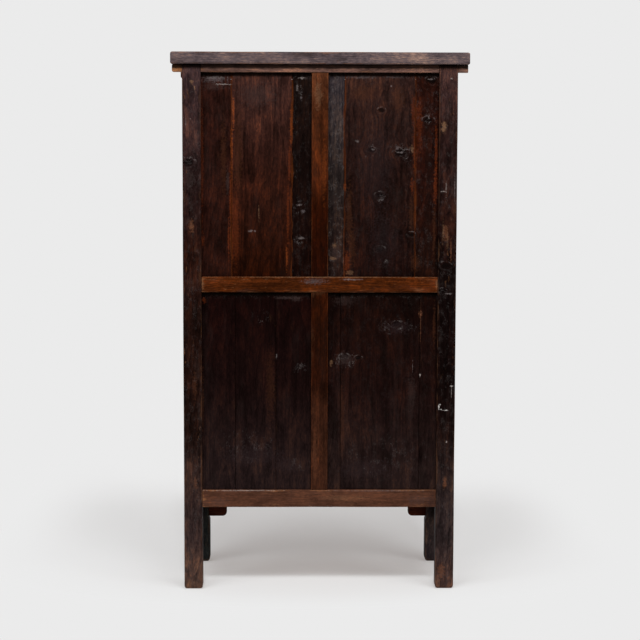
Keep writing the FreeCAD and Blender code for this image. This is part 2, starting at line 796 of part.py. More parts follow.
def cap_batten_tail(y):
    """The cap batten's dovetail; it runs from front to back and is widest at its top."""
    low = "height - cap_panel_thickness"
    wide = about("0 * cap_batten_width", "cap_batten_width")
    narrow = shrunk(wide, "dovetail_flare")
    tail = tapered_block((low, f"{low} + dovetail_depth"), narrow, wide, (f"-({y[1]})", f"-({y[0]})"),
                         (f"-({y[1]})", f"-({y[0]})"))
    turn(tail, FreeCAD.Vector(1, 0, 0), 90)
    return tail


def cap_panel(inside_x, inside_y):
    """The cap's panel, flush with its frame, and the batten that keeps it flat."""
    field = block(
        shrunk(inside_x, "fit_gap"), shrunk(inside_y, "fit_gap"), ("height - cap_panel_thickness", "height")
    )
    high = "height - cap_panel_lip"
    tongue_z = (f"{high} - cap_tongue_thickness", high)
    tongue = block(grown(inside_x, "tongue"), grown(inside_y, "tongue"), tongue_z)
    node("cap_panel", cut(fused(field, tongue), cap_batten_tail(grown(inside_y, "groove_depth"))))
    batten_y = shrunk(inside_y, "fit_gap")
    bar = block(
        about("0 * cap_batten_width", "cap_batten_width"),
        batten_y,
        ("height - cap_panel_thickness - cap_batten_thickness", "height - cap_panel_thickness"),
    )
    node("cap_batten", fused(bar, cap_batten_tail(batten_y)))


def cornice():
    """The moulding under the cap's front overhang, mitred to a short return at each side."""
    outer_x = "cap_width / 2 - cornice_setback"
    outer_y = "cap_depth / 2 - cornice_setback"
    z = TOP_RAIL_Z
    front_y = (f"-({outer_y})", "body_front")
    wide, narrow = (f"-({outer_x})", outer_x), ("-(body_half)", "body_half")
    bar = rounded_block(wide, front_y, z, "cornice_round", ("x", {"y": "low", "z": "low"}))
    node("cornice_front", common(bar, tapered_block(front_y, wide, narrow, z, z)))
    stop = "body_front + cornice_return"
    for side in SIDES:
        x = sided(side, "body_half", outer_x)
        outer = "high" if side == "right" else "low"
        bar = rounded_block(x, (f"-({outer_y})", stop), z, "cornice_round", ("y", {"x": outer, "z": "low"}))
        inner_run, outer_run = ("body_front", stop), (f"-({outer_y})", stop)
        if side == "right":
            inner_run, outer_run = (f"-({stop})", "-(body_front)"), (f"-({stop})", outer_y)
        outline = tapered_block(("body_half", outer_x), inner_run, outer_run, z, z)
        turn(outline, FreeCAD.Vector(0, 0, 1), -90 if side == "right" else 90)
        node(f"cornice_{side}", common(bar, outline))


def door_tenons(z, extra="0 * door_tenon_length"):
    """The tenons of a door's rail, right through its length, on the right."""
    x = grown(("meeting_stile_inner", "hinge_stile_inner"), f"door_tenon_length + {extra}")
    return x, about("door_middle", "door_tenon_thickness"), tenon_z(z)


def door_batten_z(share):
    low, high = DOOR_Z
    return about(f"({low}) + ({length(DOOR_Z)}) * {share}", "batten_height")


def door(side):
    """A framed door that turns on wooden pivots cut from the ends of its outer stile."""
    rail_z = {
        "top": ("door_top - door_rail_height", "door_top"),
        "bottom": ("door_bottom", "door_bottom + door_rail_height"),
    }
    inside_x = ("meeting_stile_inner", "hinge_stile_inner")
    inside_z = ("door_bottom + door_rail_height", "door_top - door_rail_height")

    def sided_block(x, y, z):
        return block(sided(side, *x), y, z)

    mortises = [sided_block(*door_tenons(z, "tenon_end_gap")) for z in rail_z.values()]
    groove = sided_block(grown(inside_x, "groove_depth"), DOOR_TONGUE_Y, grown(inside_z, "groove_depth"))

    axis = sided_place(side, "hinge_axis")
    flat = sided_block(("hinge_stile_inner", "hinge_axis"), DOOR_Y, DOOR_Z)
    edge = round_bar(axis, "door_middle", DOOR_Z, "door_thickness / 2")
    pivot_z = (
        "bottom_rail_top - pivot_length + pivot_end_gap",
        "top_rail_bottom + pivot_length",
    )
    pivots = round_bar(axis, "door_middle", pivot_z, "pivot_radius")
    node(f"{side}_door_hinge_stile", cut(fused(flat, edge, pivots), groove, *mortises))

    stile = sided_block(("meeting_edge", "meeting_stile_inner"), DOOR_Y, DOOR_Z)
    pin_hole = pull_hole(sided_place(side, "pull_middle"), DOOR_Y)
    node(f"{side}_door_meeting_stile", cut(stile, groove, pin_hole, *mortises))

    for name, z in rail_z.items():
        rail = fused(sided_block(inside_x, DOOR_Y, z), sided_block(*door_tenons(z)))
        rail_groove = sided_block(inside_x, DOOR_TONGUE_Y, grown(inside_z, "groove_depth"))
        node(f"{side}_door_{name}_rail", cut(rail, rail_groove))

    door_panel(side, inside_x, inside_z)
    pull(side)


def door_panel(side, inside_x, inside_z):
    """A panel with a bevelled raised field in front and dovetailed battens behind."""
    tongue_x = sided(side, *grown(inside_x, "tongue"))
    plate = block(tongue_x, DOOR_TONGUE_Y, grown(inside_z, "tongue"))
    foot_x = sided(side, *shrunk(inside_x, "door_field_margin"))
    foot_z = shrunk(inside_z, "door_field_margin")
    face_x, face_z = shrunk(foot_x, "door_field_bevel"), shrunk(foot_z, "door_field_bevel")
    field_y = (f"{DOOR_TONGUE_Y[0]} - door_field_rise", DOOR_TONGUE_Y[0])
    field = tapered_block(field_y, face_x, foot_x, face_z, foot_z)
    tail_y = (f"{DOOR_TONGUE_Y[1]} - dovetail_depth", DOOR_TONGUE_Y[1])
    slots = [
        dovetail_along_x(tongue_x, tail_y, door_batten_z(share)) for share in DOOR_BATTEN_LEVEL_SHARES
    ]
    node(f"{side}_door_panel", cut(fused(plate, field), *slots))
    batten_x = sided(side, *shrunk(inside_x, "fit_gap"))
    battens = [
        fused(
            block(batten_x, (DOOR_TONGUE_Y[1], "door_rear"), door_batten_z(share)),
            dovetail_along_x(batten_x, tail_y, door_batten_z(share)),
        )
        for share in DOOR_BATTEN_LEVEL_SHARES
    ]
    node(f"{side}_door_battens", group(*battens))


def forged_ring():
    """An upright ring of wire hammered to flats."""
    section = doc.addObject("Part::RegularPolygon", "section")
    section.Polygon = RING_SIDES
    turn(section, FreeCAD.Vector(1, 0, 0), 90)
    bind(section, {"Circumradius": "ring_wire"})
    place(section, "ring_radius", "0 * ring_radius", "0 * ring_radius")
    ring = doc.addObject("Part::Revolution", "ring")
    ring.Source = section
    ring.Axis = FreeCAD.Vector(0, 0, 1)
    ring.Base = FreeCAD.Vector()
    ring.Angle = 360
    ring.Solid = True
    turn(ring, FreeCAD.Vector(1, 0, 0), 90)
    return ring


def pull_hole(x, y):
    """The hole that a pull's pin passes through; y is the span of what it pierces."""
    return cross_bar(x, grown(y, "overrun"), "pull_level", "pin_hole_radius")


def pull(side):
    """A ring that hangs in the eye of a split pin, over an eight-sided stepped rosette."""
    x = sided_place(side, "pull_middle")
    steps = []
    for radius, thickness in (
        ("rosette_radius", "rosette_step"), ("rosette_radius - rosette_rim", "rosette_thickness")
    ):
        plate = doc.addObject("Part::Prism", "plate")
        plate.Polygon = ROSETTE_SIDES
        turn(plate, FreeCAD.Vector(1, 0, 0), 90)
        bind(plate, {"Circumradius": radius, "Height": thickness})
        place(plate, x, "door_front", "pull_level")
        steps.append(plate)
    node(f"{side}_pull_rosette", cut(fused(*steps), pull_hole(x, ("rosette_front", "door_front"))))

    strips_x = about(x, "pin_leg_width")
    eye = cut(
        wide_bar(strips_x, "eye_middle", "pull_level", "eye_radius"),
        wide_bar(grown(strips_x, "overrun"), "eye_middle", "pull_level", "eye_radius - pin_leg_thickness"),
    )
    shank_y = ("eye_middle + eye_radius - pin_leg_thickness / 2", "door_rear")
    shank = block(strips_x, shank_y, about("pull_level", "2 * pin_leg_thickness"))
    legs = block(
        strips_x,
        ("door_rear", "door_rear + pin_leg_thickness"),
        about("pull_level", "2 * pin_leg_length"),
    )
    node(f"{side}_pull_pin", fused(eye, shank, legs))

    ring = forged_ring()
    place(ring, x, "eye_middle", "pull_level - ring_tube_drop - ring_radius")
    node(f"{side}_pull_ring", ring)


def build():
    cap()
    cornice()
    for side in SIDES:
        for end in ("front", "rear"):
            post(side, end)
    rear_rails()
    front_rails()
    for side in SIDES:
        side_rails(side)
    for name, back_z in (("upper", UPPER_BACK_Z), ("lower", LOWER_BACK_Z)):
        muntin(name, back_z)
        for side in SIDES:
            back_panel(side, name, back_z)
    for side in SIDES:
        side_panel(side)
    floor()
    shelf()
    front_apron()
    for side in SIDES:
        side_apron(side)
    for side in SIDES:
        door(side)
    doc.recompute()


def check():
    """Stops before anything is written if an object failed or a sub-part has no sound shape."""
    for thing in doc.Objects:
        if {"Invalid", "Error"} & set(thing.State):
            raise RuntimeError(f"{thing.Name} ({thing.Label}) failed: {thing.State}")
    for thing in nodes:
        if thing.Shape.isNull() or not thing.Shape.isValid():
            raise RuntimeError(f"{thing.Label} has no sound shape")


def write():
    os.makedirs("parts", exist_ok=True)
    for thing in nodes:
        thing.Shape.exportStep(f"parts/{thing.Label}.step")
        box = thing.Shape.BoundBox
        corner = [round(v, 1) for v in (box.XMin, box.YMin, box.ZMin, box.XMax, box.YMax, box.ZMax)]
        print(thing.Label, len(thing.Shape.Solids), "solids", round(thing.Shape.Volume), "mm3", corner)


build()
check()
write()
print(len(nodes), "nodes")
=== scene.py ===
"""Old varnished wooden cabinet, dressed as an add-on and run as a script."""

import math

import bpy
from bpy.props import FloatProperty, FloatVectorProperty, PointerProperty
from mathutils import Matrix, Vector, noise


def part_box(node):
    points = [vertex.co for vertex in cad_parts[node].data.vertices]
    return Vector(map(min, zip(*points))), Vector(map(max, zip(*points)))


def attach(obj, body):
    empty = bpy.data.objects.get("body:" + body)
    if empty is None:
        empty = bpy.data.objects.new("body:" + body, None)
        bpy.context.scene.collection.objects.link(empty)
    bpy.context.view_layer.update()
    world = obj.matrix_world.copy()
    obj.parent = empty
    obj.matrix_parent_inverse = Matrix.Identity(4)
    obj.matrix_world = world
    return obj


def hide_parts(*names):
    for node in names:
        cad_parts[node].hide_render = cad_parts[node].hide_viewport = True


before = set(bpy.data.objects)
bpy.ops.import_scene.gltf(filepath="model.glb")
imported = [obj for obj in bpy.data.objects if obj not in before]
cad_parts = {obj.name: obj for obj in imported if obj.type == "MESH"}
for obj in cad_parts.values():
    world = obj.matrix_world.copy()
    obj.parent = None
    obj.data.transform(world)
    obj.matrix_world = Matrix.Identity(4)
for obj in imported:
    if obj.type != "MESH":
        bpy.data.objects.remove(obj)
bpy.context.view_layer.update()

bl_info = {
    "name": "Old varnished cabinet",
    "version": (1, 0, 0),
    "blender": (4, 5, 0),
    "location": "View3D > Sidebar > Cabinet",
    "description": "Dresses a framed two-door cabinet in worn, varnished wood",
    "category": "Object",
}

SIDES = ("left", "right")
AXES = "xyz"
MM = 0.001


def linear(red, green, blue):
    """A colour read as 0 to 255 on a screen, as the linear colour that shaders take."""
    return tuple(
        v / 12.92 if v <= 0.04045 else ((v + 0.055) / 1.055) ** 2.4
        for v in (red / 255, green / 255, blue / 255)
    )


# settings


class WoodSettings(bpy.types.PropertyGroup):
    """How the timber is cut, worn and coloured."""

    arris: FloatProperty(
        name="Arris", description="Rounding of a worn edge", default=0.0022, unit="LENGTH"
    )
    plane_marks: FloatProperty(
        name="Plane marks", description="Depth of the hollows left by a hand plane",
        default=0.0007, unit="LENGTH",
    )
    joint_gap: FloatProperty(
        name="Joint gap", description="Open line between neighbouring boards", default=0.0004, unit="LENGTH"
    )
    cap: FloatVectorProperty(
        name="Cap", description="Greyed wood of the cap", subtype="COLOR", default=linear(87, 75, 77)
    )
    top_rail: FloatVectorProperty(
        name="Top rail", description="Paler rail under the cap",
        subtype="COLOR", default=linear(112, 83, 74),
    )
    mid_rail: FloatVectorProperty(
        name="Middle rail", description="Orange brown rail", subtype="COLOR", default=linear(62, 27, 7)
    )
    bottom_rail: FloatVectorProperty(
        name="Bottom rail", description="Brown rail above the legs",
        subtype="COLOR", default=linear(74, 46, 34),
    )
    door: FloatVectorProperty(
        name="Doors", description="Varnish of the doors and front rails",
        subtype="COLOR", default=linear(70, 32, 22),
    )
    side: FloatVectorProperty(
        name="Sides", description="Varnish of the side panels", subtype="COLOR", default=linear(50, 26, 19)
    )
    inside: FloatVectorProperty(
        name="Inside", description="Bare wood inside", subtype="COLOR", default=linear(112, 78, 52)
    )
    gloss: FloatProperty(name="Gloss", description="Reflection level of the old varnish", default=0.025)
    sheen: FloatVectorProperty(
        name="Sheen", description="Warm tint of the varnish's reflections",
        subtype="COLOR", default=(1.0, 0.6, 0.45),
    )
    thinned: FloatVectorProperty(
        name="Thinned varnish", description="Orange wood along the edges of boards",
        subtype="COLOR", default=linear(86, 40, 14),
    )
    # painted shade: the near-black colour of the shade in the corners under the cap and rails and round the
    # door panels, with some dirt
    grime: FloatVectorProperty(
        name="Shade and dirt", description="Painted shade and dirt in the corners under the cap and rails",
        subtype="COLOR", default=linear(7, 4, 3),
    )
    knot: FloatVectorProperty(
        name="Knot", description="Core of a knot", subtype="COLOR", default=linear(7, 4, 4)
    )
    dust: FloatVectorProperty(
        name="Dust", description="Grey film on old varnish", subtype="COLOR", default=linear(84, 70, 66)
    )
    # painted highlight: the pale colour of the glints on cracked varnish and over knots
    glint: FloatVectorProperty(
        name="Glint", description="Painted glints on cracked varnish",
        subtype="COLOR", default=linear(138, 130, 128),
    )
    bare: FloatVectorProperty(
        name="Bare wood", description="Wood that shows where varnish has worn away",
        subtype="COLOR", default=linear(132, 88, 58),
    )


class StageSettings(bpy.types.PropertyGroup):
    """Camera, floor and light."""

    lens: FloatProperty(
        name="Lens", description="Focal length on a 36 mm sensor", default=92.99, unit="CAMERA"
    )
    distance: FloatProperty(
        name="Distance", description="From the camera to the cabinet's back", default=5.584, unit="LENGTH"
    )
    aside: FloatProperty(
        name="Aside", description="Camera's place beside the middle of the back",
        default=0.083, unit="LENGTH",
    )
    eye_level: FloatProperty(name="Eye level", description="Camera height", default=1.4542, unit="LENGTH")
    pitch: FloatProperty(
        name="Pitch", description="How far the camera looks down",
        default=math.radians(5.358), subtype="ANGLE",
    )
    roll: FloatProperty(
        name="Roll", description="How far the camera leans to its left",
        default=math.radians(0.143), subtype="ANGLE",
    )
    backdrop: FloatVectorProperty(
        name="Backdrop", description="Background", subtype="COLOR", default=linear(235, 235, 235)
    )
    floor: FloatVectorProperty(
        name="Floor", description="Pale floor", subtype="COLOR", default=linear(236, 236, 236)
    )
    glow: FloatProperty(
        name="Glow", description="Share of the floor's colour that shadows don't reach", default=0.29
    )
    glow_tint: FloatVectorProperty(
        name="Glow tint", description="Warmth of the light in the floor's shadows",
        subtype="COLOR", default=(1.09, 0.98, 0.93),
    )
    sky: FloatProperty(name="Sky", description="Strength of the light from all round", default=0.28)
    key: FloatProperty(name="Key", description="Strength of the soft lamps", default=1.0)


# shader nodes


def group_of(name, inputs, outputs):
    """A new shader node group; inputs map names to kinds and defaults, outputs map names to kinds."""
    tree = bpy.data.node_groups.new(name, "ShaderNodeTree")
    for socket, (kind, value) in inputs.items():
        made = tree.interface.new_socket(socket, in_out="INPUT", socket_type=f"NodeSocket{kind}")
        if value is not None:
            made.default_value = value
    for socket, kind in outputs.items():
        tree.interface.new_socket(socket, in_out="OUTPUT", socket_type=f"NodeSocket{kind}")
    return tree, tree.nodes.new("NodeGroupInput").outputs, tree.nodes.new("NodeGroupOutput").inputs


def feed(tree, socket, value):
    """Links a socket to another socket, or sets it to a plain value; None leaves it alone."""
    if isinstance(value, bpy.types.NodeSocket):
        tree.links.new(value, socket)
    elif value is not None:
        socket.default_value = value


def math_node(tree, operation, *values, clamp=False):
    made = tree.nodes.new("ShaderNodeMath")
    made.operation = operation
    made.use_clamp = clamp
    for socket, value in zip(made.inputs, values):
        feed(tree, socket, value)
    return made.outputs[0]


def times(tree, first, second, clamp=False):
    return math_node(tree, "MULTIPLY", first, second, clamp=clamp)


def plus(tree, first, second, clamp=False):
    return math_node(tree, "ADD", first, second, clamp=clamp)


def minus(tree, first, second):
    return math_node(tree, "SUBTRACT", first, second)


def scaled(tree, value, factor, offset):
    return math_node(tree, "MULTIPLY_ADD", value, factor, offset)


def vector_node(tree, operation, *values):
    made = tree.nodes.new("ShaderNodeVectorMath")
    made.operation = operation
    for socket, value in zip(made.inputs, values):
        feed(tree, socket, value)
    return made.outputs["Value" if operation == "LENGTH" else "Vector"]


def split(tree, vector):
    """The X, Y and Z of a vector."""
    made = tree.nodes.new("ShaderNodeSeparateXYZ")
    feed(tree, made.inputs[0], vector)
    return made.outputs


def joined(tree, *values):
    """A vector from its X, Y and Z; those left out are 0."""
    made = tree.nodes.new("ShaderNodeCombineXYZ")
    for socket, value in zip(made.inputs, values):
        feed(tree, socket, value)
    return made.outputs[0]


def noise_node(tree, vector, scale, detail=3, rough=0.55, warp=0.0):
    made = tree.nodes.new("ShaderNodeTexNoise")
    feed(tree, made.inputs["Vector"], vector)
    for socket, value in (("Scale", scale), ("Detail", detail), ("Roughness", rough), ("Distortion", warp)):
        feed(tree, made.inputs[socket], value)
    return made.outputs["Fac"]


def grain_noise(tree, grain, along, across, detail, rough=0.6, warp=0.0):
    """Noise drawn out along the grain, with so many patches in a metre along and across it."""
    drawn = vector_node(tree, "MULTIPLY", grain, (along, across, across))
    return noise_node(tree, drawn, 1.0, detail, rough, warp)


def ramp(tree, value, low, high, to_low=0.0, to_high=1.0):
    """A smooth rise from one level to another between two values."""
    made = tree.nodes.new("ShaderNodeMapRange")
    made.interpolation_type = "SMOOTHSTEP"
    for socket, setting in zip(made.inputs[:5], (value, low, high, to_low, to_high)):
        feed(tree, socket, setting)
    return made.outputs[0]


def mix(tree, share, first, second, blend="MIX"):
    made = tree.nodes.new("ShaderNodeMix")
    made.data_type = "RGBA"
    made.blend_type = blend
    feed(tree, made.inputs["Factor"], share)
    feed(tree, made.inputs[6], first)
    feed(tree, made.inputs[7], second)
    return made.outputs[2]


def place(tree):
    """A point's place in the frame."""
    return tree.nodes.new("ShaderNodeTexCoord").outputs["Object"]


def solid(colour):
    return (*colour, 1.0)


# shader groups


def grain_group():
    """Year rings, streaks and fibres of a sawn board; the grain runs along the vector's X."""
    tree, given, out = group_of(
        "Sawn grain",
        {"Grain": ("Vector", None), "Tone": ("Color", (0.1, 0.05, 0.03, 1)), "Contrast": ("Float", 1.0)},
        {"Color": "Color", "Height": "Float", "Streak": "Float"},
    )
    grain = given["Grain"]

    # year rings of a log that tapers and wanders
    rings_per_metre = 150.0
    along, across, deep = split(tree, grain)
    wander = scaled(tree, grain_noise(tree, grain, 1.1, 7.0, 2), 0.09, -0.045)
    taper = scaled(tree, along, 0.022, 0.055)
    log = joined(tree, plus(tree, across, wander), plus(tree, plus(tree, deep, taper), wander))
    rings = math_node(tree, "FRACT", times(tree, vector_node(tree, "LENGTH", log), rings_per_metre))
    late_wood = math_node(tree, "POWER", rings, 2.5)

    # layers of light and dark: patches in a metre along and across, detail, roughness and strength
    layers = {
        "streak": (1.4, 44.0, 4, 0.65, 1.8),
        "line": (3.4, 165.0, 4, 0.65, 1.1),
        "cloud": (3.8, 10.0, 5, 0.6, 3.2),
        "blotch": (15.0, 34.0, 4, 0.65, 2.6),
        "fibre": (12.0, 400.0, 3, 0.6, 0.7),
        "grit": (70.0, 240.0, 3, 0.65, 2.3),
    }
    made = {}
    light = scaled(tree, late_wood, -0.5, 0.14)
    for name, (*patches, strength) in layers.items():
        made[name] = grain_noise(tree, grain, *patches)
        light = plus(tree, light, scaled(tree, made[name], strength, -strength / 2))
    pores = ramp(tree, grain_noise(tree, grain, 40.0, 1100.0, 1), 0.62, 0.7)
    light = times(tree, minus(tree, light, times(tree, pores, 0.35)), given["Contrast"])

    # the tone times a power of the light, and warmer where it is light
    darkest, lightest, base = -1.6, 1.1, 3.4
    held = math_node(tree, "MINIMUM", math_node(tree, "MAXIMUM", light, darkest), lightest)
    factor = math_node(tree, "POWER", base, held)
    grey = tree.nodes.new("ShaderNodeCombineColor")
    for socket in grey.inputs:
        feed(tree, socket, factor)
    toned = mix(tree, 1.0, given["Tone"], grey.outputs[0], "MULTIPLY")
    warm = mix(tree, 1.0, toned, (1.05, 0.9, 0.68, 1), "MULTIPLY")
    feed(tree, out["Color"], mix(tree, ramp(tree, light, -0.1, 0.75), toned, warm))

    height = plus(tree, times(tree, made["fibre"], 0.5), times(tree, late_wood, -0.3))
    feed(tree, out["Height"], minus(tree, height, times(tree, pores, 0.6)))
    feed(tree, out["Streak"], made["streak"])
    return tree


def wear_group():
    """Where hands and knocks have rubbed an edge bare, and where the face is chipped or dusty."""
    tree, given, out = group_of(
        "Rubbed edges",
        {"Grain": ("Vector", None), "Edge": ("Float", 0.0), "Amount": ("Float", 0.5)},
        {"Worn": "Float", "Dust": "Float", "Chips": "Float"},
    )
    grain = given["Grain"]
    patch = grain_noise(tree, grain, 14.0, 60.0, 4, 0.65)
    reach = scaled(tree, given["Edge"], 0.65, scaled(tree, patch, 2.6, -1.4))
    feed(tree, out["Worn"], times(tree, ramp(tree, reach, 0.25, 0.75), given["Amount"], clamp=True))
    feed(tree, out["Dust"], ramp(tree, grain_noise(tree, grain, 6.0, 22.0, 5, 0.7), 0.5, 0.75))
    fleck = ramp(tree, grain_noise(tree, grain, 38.0, 170.0, 4, 0.7), 0.6, 0.66)
    knocked = ramp(tree, grain_noise(tree, grain, 5.0, 20.0, 2, 0.5), 0.5, 0.62)
    feed(tree, out["Chips"], times(tree, fleck, knocked))
    return tree


def crazed_glint_group():
    """Fine cracks of old varnish that has shrunk and come up: their relief, and pale painted glints along
    them.
    """
    tree, given, out = group_of(
        "Crazed varnish and glints",
        {"Grain": ("Vector", None), "Amount": ("Float", 0.0)},
        {"Glint": "Float", "Height": "Float"},
    )
    grain = given["Grain"]
    skin = grain_noise(tree, grain, 150.0, 190.0, 3, warp=0.8)
    crease = math_node(tree, "ABSOLUTE", minus(tree, skin, 0.5))
    where = ramp(tree, grain_noise(tree, grain, 45.0, 60.0, 3), 0.47, 0.66)
    zone = times(tree, where, given["Amount"])
    feed(tree, out["Glint"], times(tree, ramp(tree, crease, 0.035, 0.008), zone, clamp=True))
    feed(tree, out["Height"], times(tree, skin, given["Amount"]))
    return tree


def shade_and_grime_group():
    """Painted shade, with some dirt, near the edges of a box: where a panel meets its frame, and under the
    cap and rails.
    """
    tree, given, out = group_of(
        "Corner shade and dirt",
        {
            "Position": ("Vector", None), "Low": ("Vector", None), "High": ("Vector", None),
            "Width": ("Float", 0.012),
        },
        {"Mask": "Float"},
    )
    above = vector_node(tree, "SUBTRACT", given["Position"], given["Low"])
    below = vector_node(tree, "SUBTRACT", given["High"], given["Position"])
    x, y, z = split(tree, vector_node(tree, "MINIMUM", above, below))
    near = math_node(tree, "MINIMUM", math_node(tree, "MINIMUM", x, y), z)
    rag = noise_node(tree, given["Position"], 60.0, 4, 0.65)
    width = times(tree, given["Width"], scaled(tree, rag, 0.6, 0.7))
    feed(tree, out["Mask"], ramp(tree, math_node(tree, "DIVIDE", near, width), 1.1, 0.6))
    return tree


def rim_group():
    """Orange wood that shows along a board's long edges, where its varnish has thinned."""
    tree, given, out = group_of(
        "Thinned rims",
        {"Grain": ("Vector", None), "Rim": ("Float", 1.0), "Width": ("Float", 0.01)},
        {"Mask": "Float"},
    )
    least_width = 0.0004
    rag = grain_noise(tree, given["Grain"], 7.0, 30.0, 4, 0.65)
    width = times(tree, ramp(tree, rag, 0.36, 0.72), given["Width"])
    share = math_node(tree, "DIVIDE", given["Rim"], plus(tree, width, least_width))
    feed(tree, out["Mask"], ramp(tree, share, 1.0, 0.25))
    return tree


def mark_group():
    """A soft patch of a given size round a place, with a ragged rim and a worn face."""
    tree, given, out = group_of(
        "Mark",
        {"Position": ("Vector", None), "Centre": ("Vector", None), "Size": ("Vector", (0.01, 0.01, 0.01))},
        {"Mask": "Float"},
    )
    ragged = 2.7
    offset = vector_node(tree, "SUBTRACT", given["Position"], given["Centre"])
    far = vector_node(tree, "LENGTH", vector_node(tree, "DIVIDE", offset, given["Size"]))
    rag = minus(tree, noise_node(tree, given["Position"], 150.0, 4, 0.65), 0.5)
    patch = ramp(tree, plus(tree, far, times(tree, rag, ragged)), 1.0, 0.3)
    worn = ramp(tree, noise_node(tree, given["Position"], 420.0, 3, 0.65), 0.4, 0.6, 0.35, 1.0)
    feed(tree, out["Mask"], times(tree, patch, worn))
    return tree


def knot_group():
    """A knot that turns the grain aside round its dark core, with a painted glint, a broken pale arc, over
    it.
    """
    tree, given, out = group_of(
        "Knot",
        {"Position": ("Vector", None), "Centre": ("Vector", None), "Radius": ("Float", 0.01)},
        {"Shift": "Vector", "Core": "Float", "Glint": "Float"},
    )
    aside, glint_ring = 0.85, 1.3
    offset = vector_node(tree, "SUBTRACT", given["Position"], given["Centre"])
    flat = vector_node(tree, "MULTIPLY", offset, (0.8, 1.5, 1.2))
    far = math_node(tree, "DIVIDE", vector_node(tree, "LENGTH", flat), given["Radius"])
    near = math_node(tree, "POWER", math.e, times(tree, times(tree, far, far), -0.22))
    x, _, z = split(tree, offset)
    feed(tree, out["Shift"], joined(tree, None, times(tree, times(tree, x, near), -aside)))
    rag = noise_node(tree, given["Position"], 300.0, 3, 0.6)
    rough_far = plus(tree, far, scaled(tree, rag, 1.2, -0.6))
    feed(tree, out["Core"], ramp(tree, rough_far, 1.15, 0.6))
    ring = math_node(tree, "ABSOLUTE", minus(tree, rough_far, glint_ring))
    upper = ramp(tree, math_node(tree, "DIVIDE", z, given["Radius"]), -0.2, 0.7, 0.15, 1.0)
    broken = ramp(tree, noise_node(tree, given["Position"], 75.0, 3, 0.6), 0.45, 0.6)
    arc = times(tree, ramp(tree, ring, 0.22, 0.04), upper)
    feed(tree, out["Glint"], times(tree, arc, broken))
    return tree


GROUP_MAKERS = {
    "Sawn grain": grain_group,
    "Rubbed edges": wear_group,
    "Thinned rims": rim_group,
    "Crazed varnish and glints": crazed_glint_group,
    "Corner shade and dirt": shade_and_grime_group,
    "Mark": mark_group,
    "Knot": knot_group,
}
GROUPS = {}


def place_group(tree, name, **values):
    """Puts a group, built once, into a material with its own values."""
    if name not in GROUPS:
        GROUPS[name] = GROUP_MAKERS[name]()
    made = tree.nodes.new("ShaderNodeGroup")
    made.node_tree = GROUPS[name]
    for socket, value in values.items():
        feed(tree, made.inputs[socket], value)
    return made.outputs


# materials

# how strongly each effect covers the wood, and how deep it goes in the bump's height
# the glint covers paint pale glints over the wood, and the corner cover paints near-black shade with some
# dirt
RIM_COVER, SHADE_AND_GRIME_COVER, GLINT_COVER = 0.75, 0.92, 0.7
KNOT_COVER, KNOT_GLINT_COVER, KNOT_DEPTH = 0.9, 0.24, 2.5
MARK_SINK, SKIN_HEIGHT = 0.8, 2.0
# how much rougher the varnish is in streaks and where it is worn
STREAK_ROUGHNESS, WORN_ROUGHNESS = 0.22, 0.25


def new_material(name):
    material = bpy.data.materials.new(name)
    material.use_nodes = True
    return material, material.node_tree, material.node_tree.nodes["Principled BSDF"]


def bumped(tree, shader, height, strength, distance):
    """Lets a height bend a shader's normals."""
    bump = tree.nodes.new("ShaderNodeBump")
    bump.inputs["Strength"].default_value = strength
    bump.inputs["Distance"].default_value = distance
    feed(tree, bump.inputs["Height"], height)
    feed(tree, shader.inputs["Normal"], bump.outputs[0])


def attribute(tree, name, output):
    made = tree.nodes.new("ShaderNodeAttribute")
    made.attribute_name = name
    return made.outputs[output]


def grain_from_place(tree, along):
    """Grain coordinates for a CAD node, from its place in the frame."""
    parts = split(tree, place(tree))
    first = AXES.index(along)
    return joined(tree, *(parts[(first + slot) % 3] for slot in range(3)))


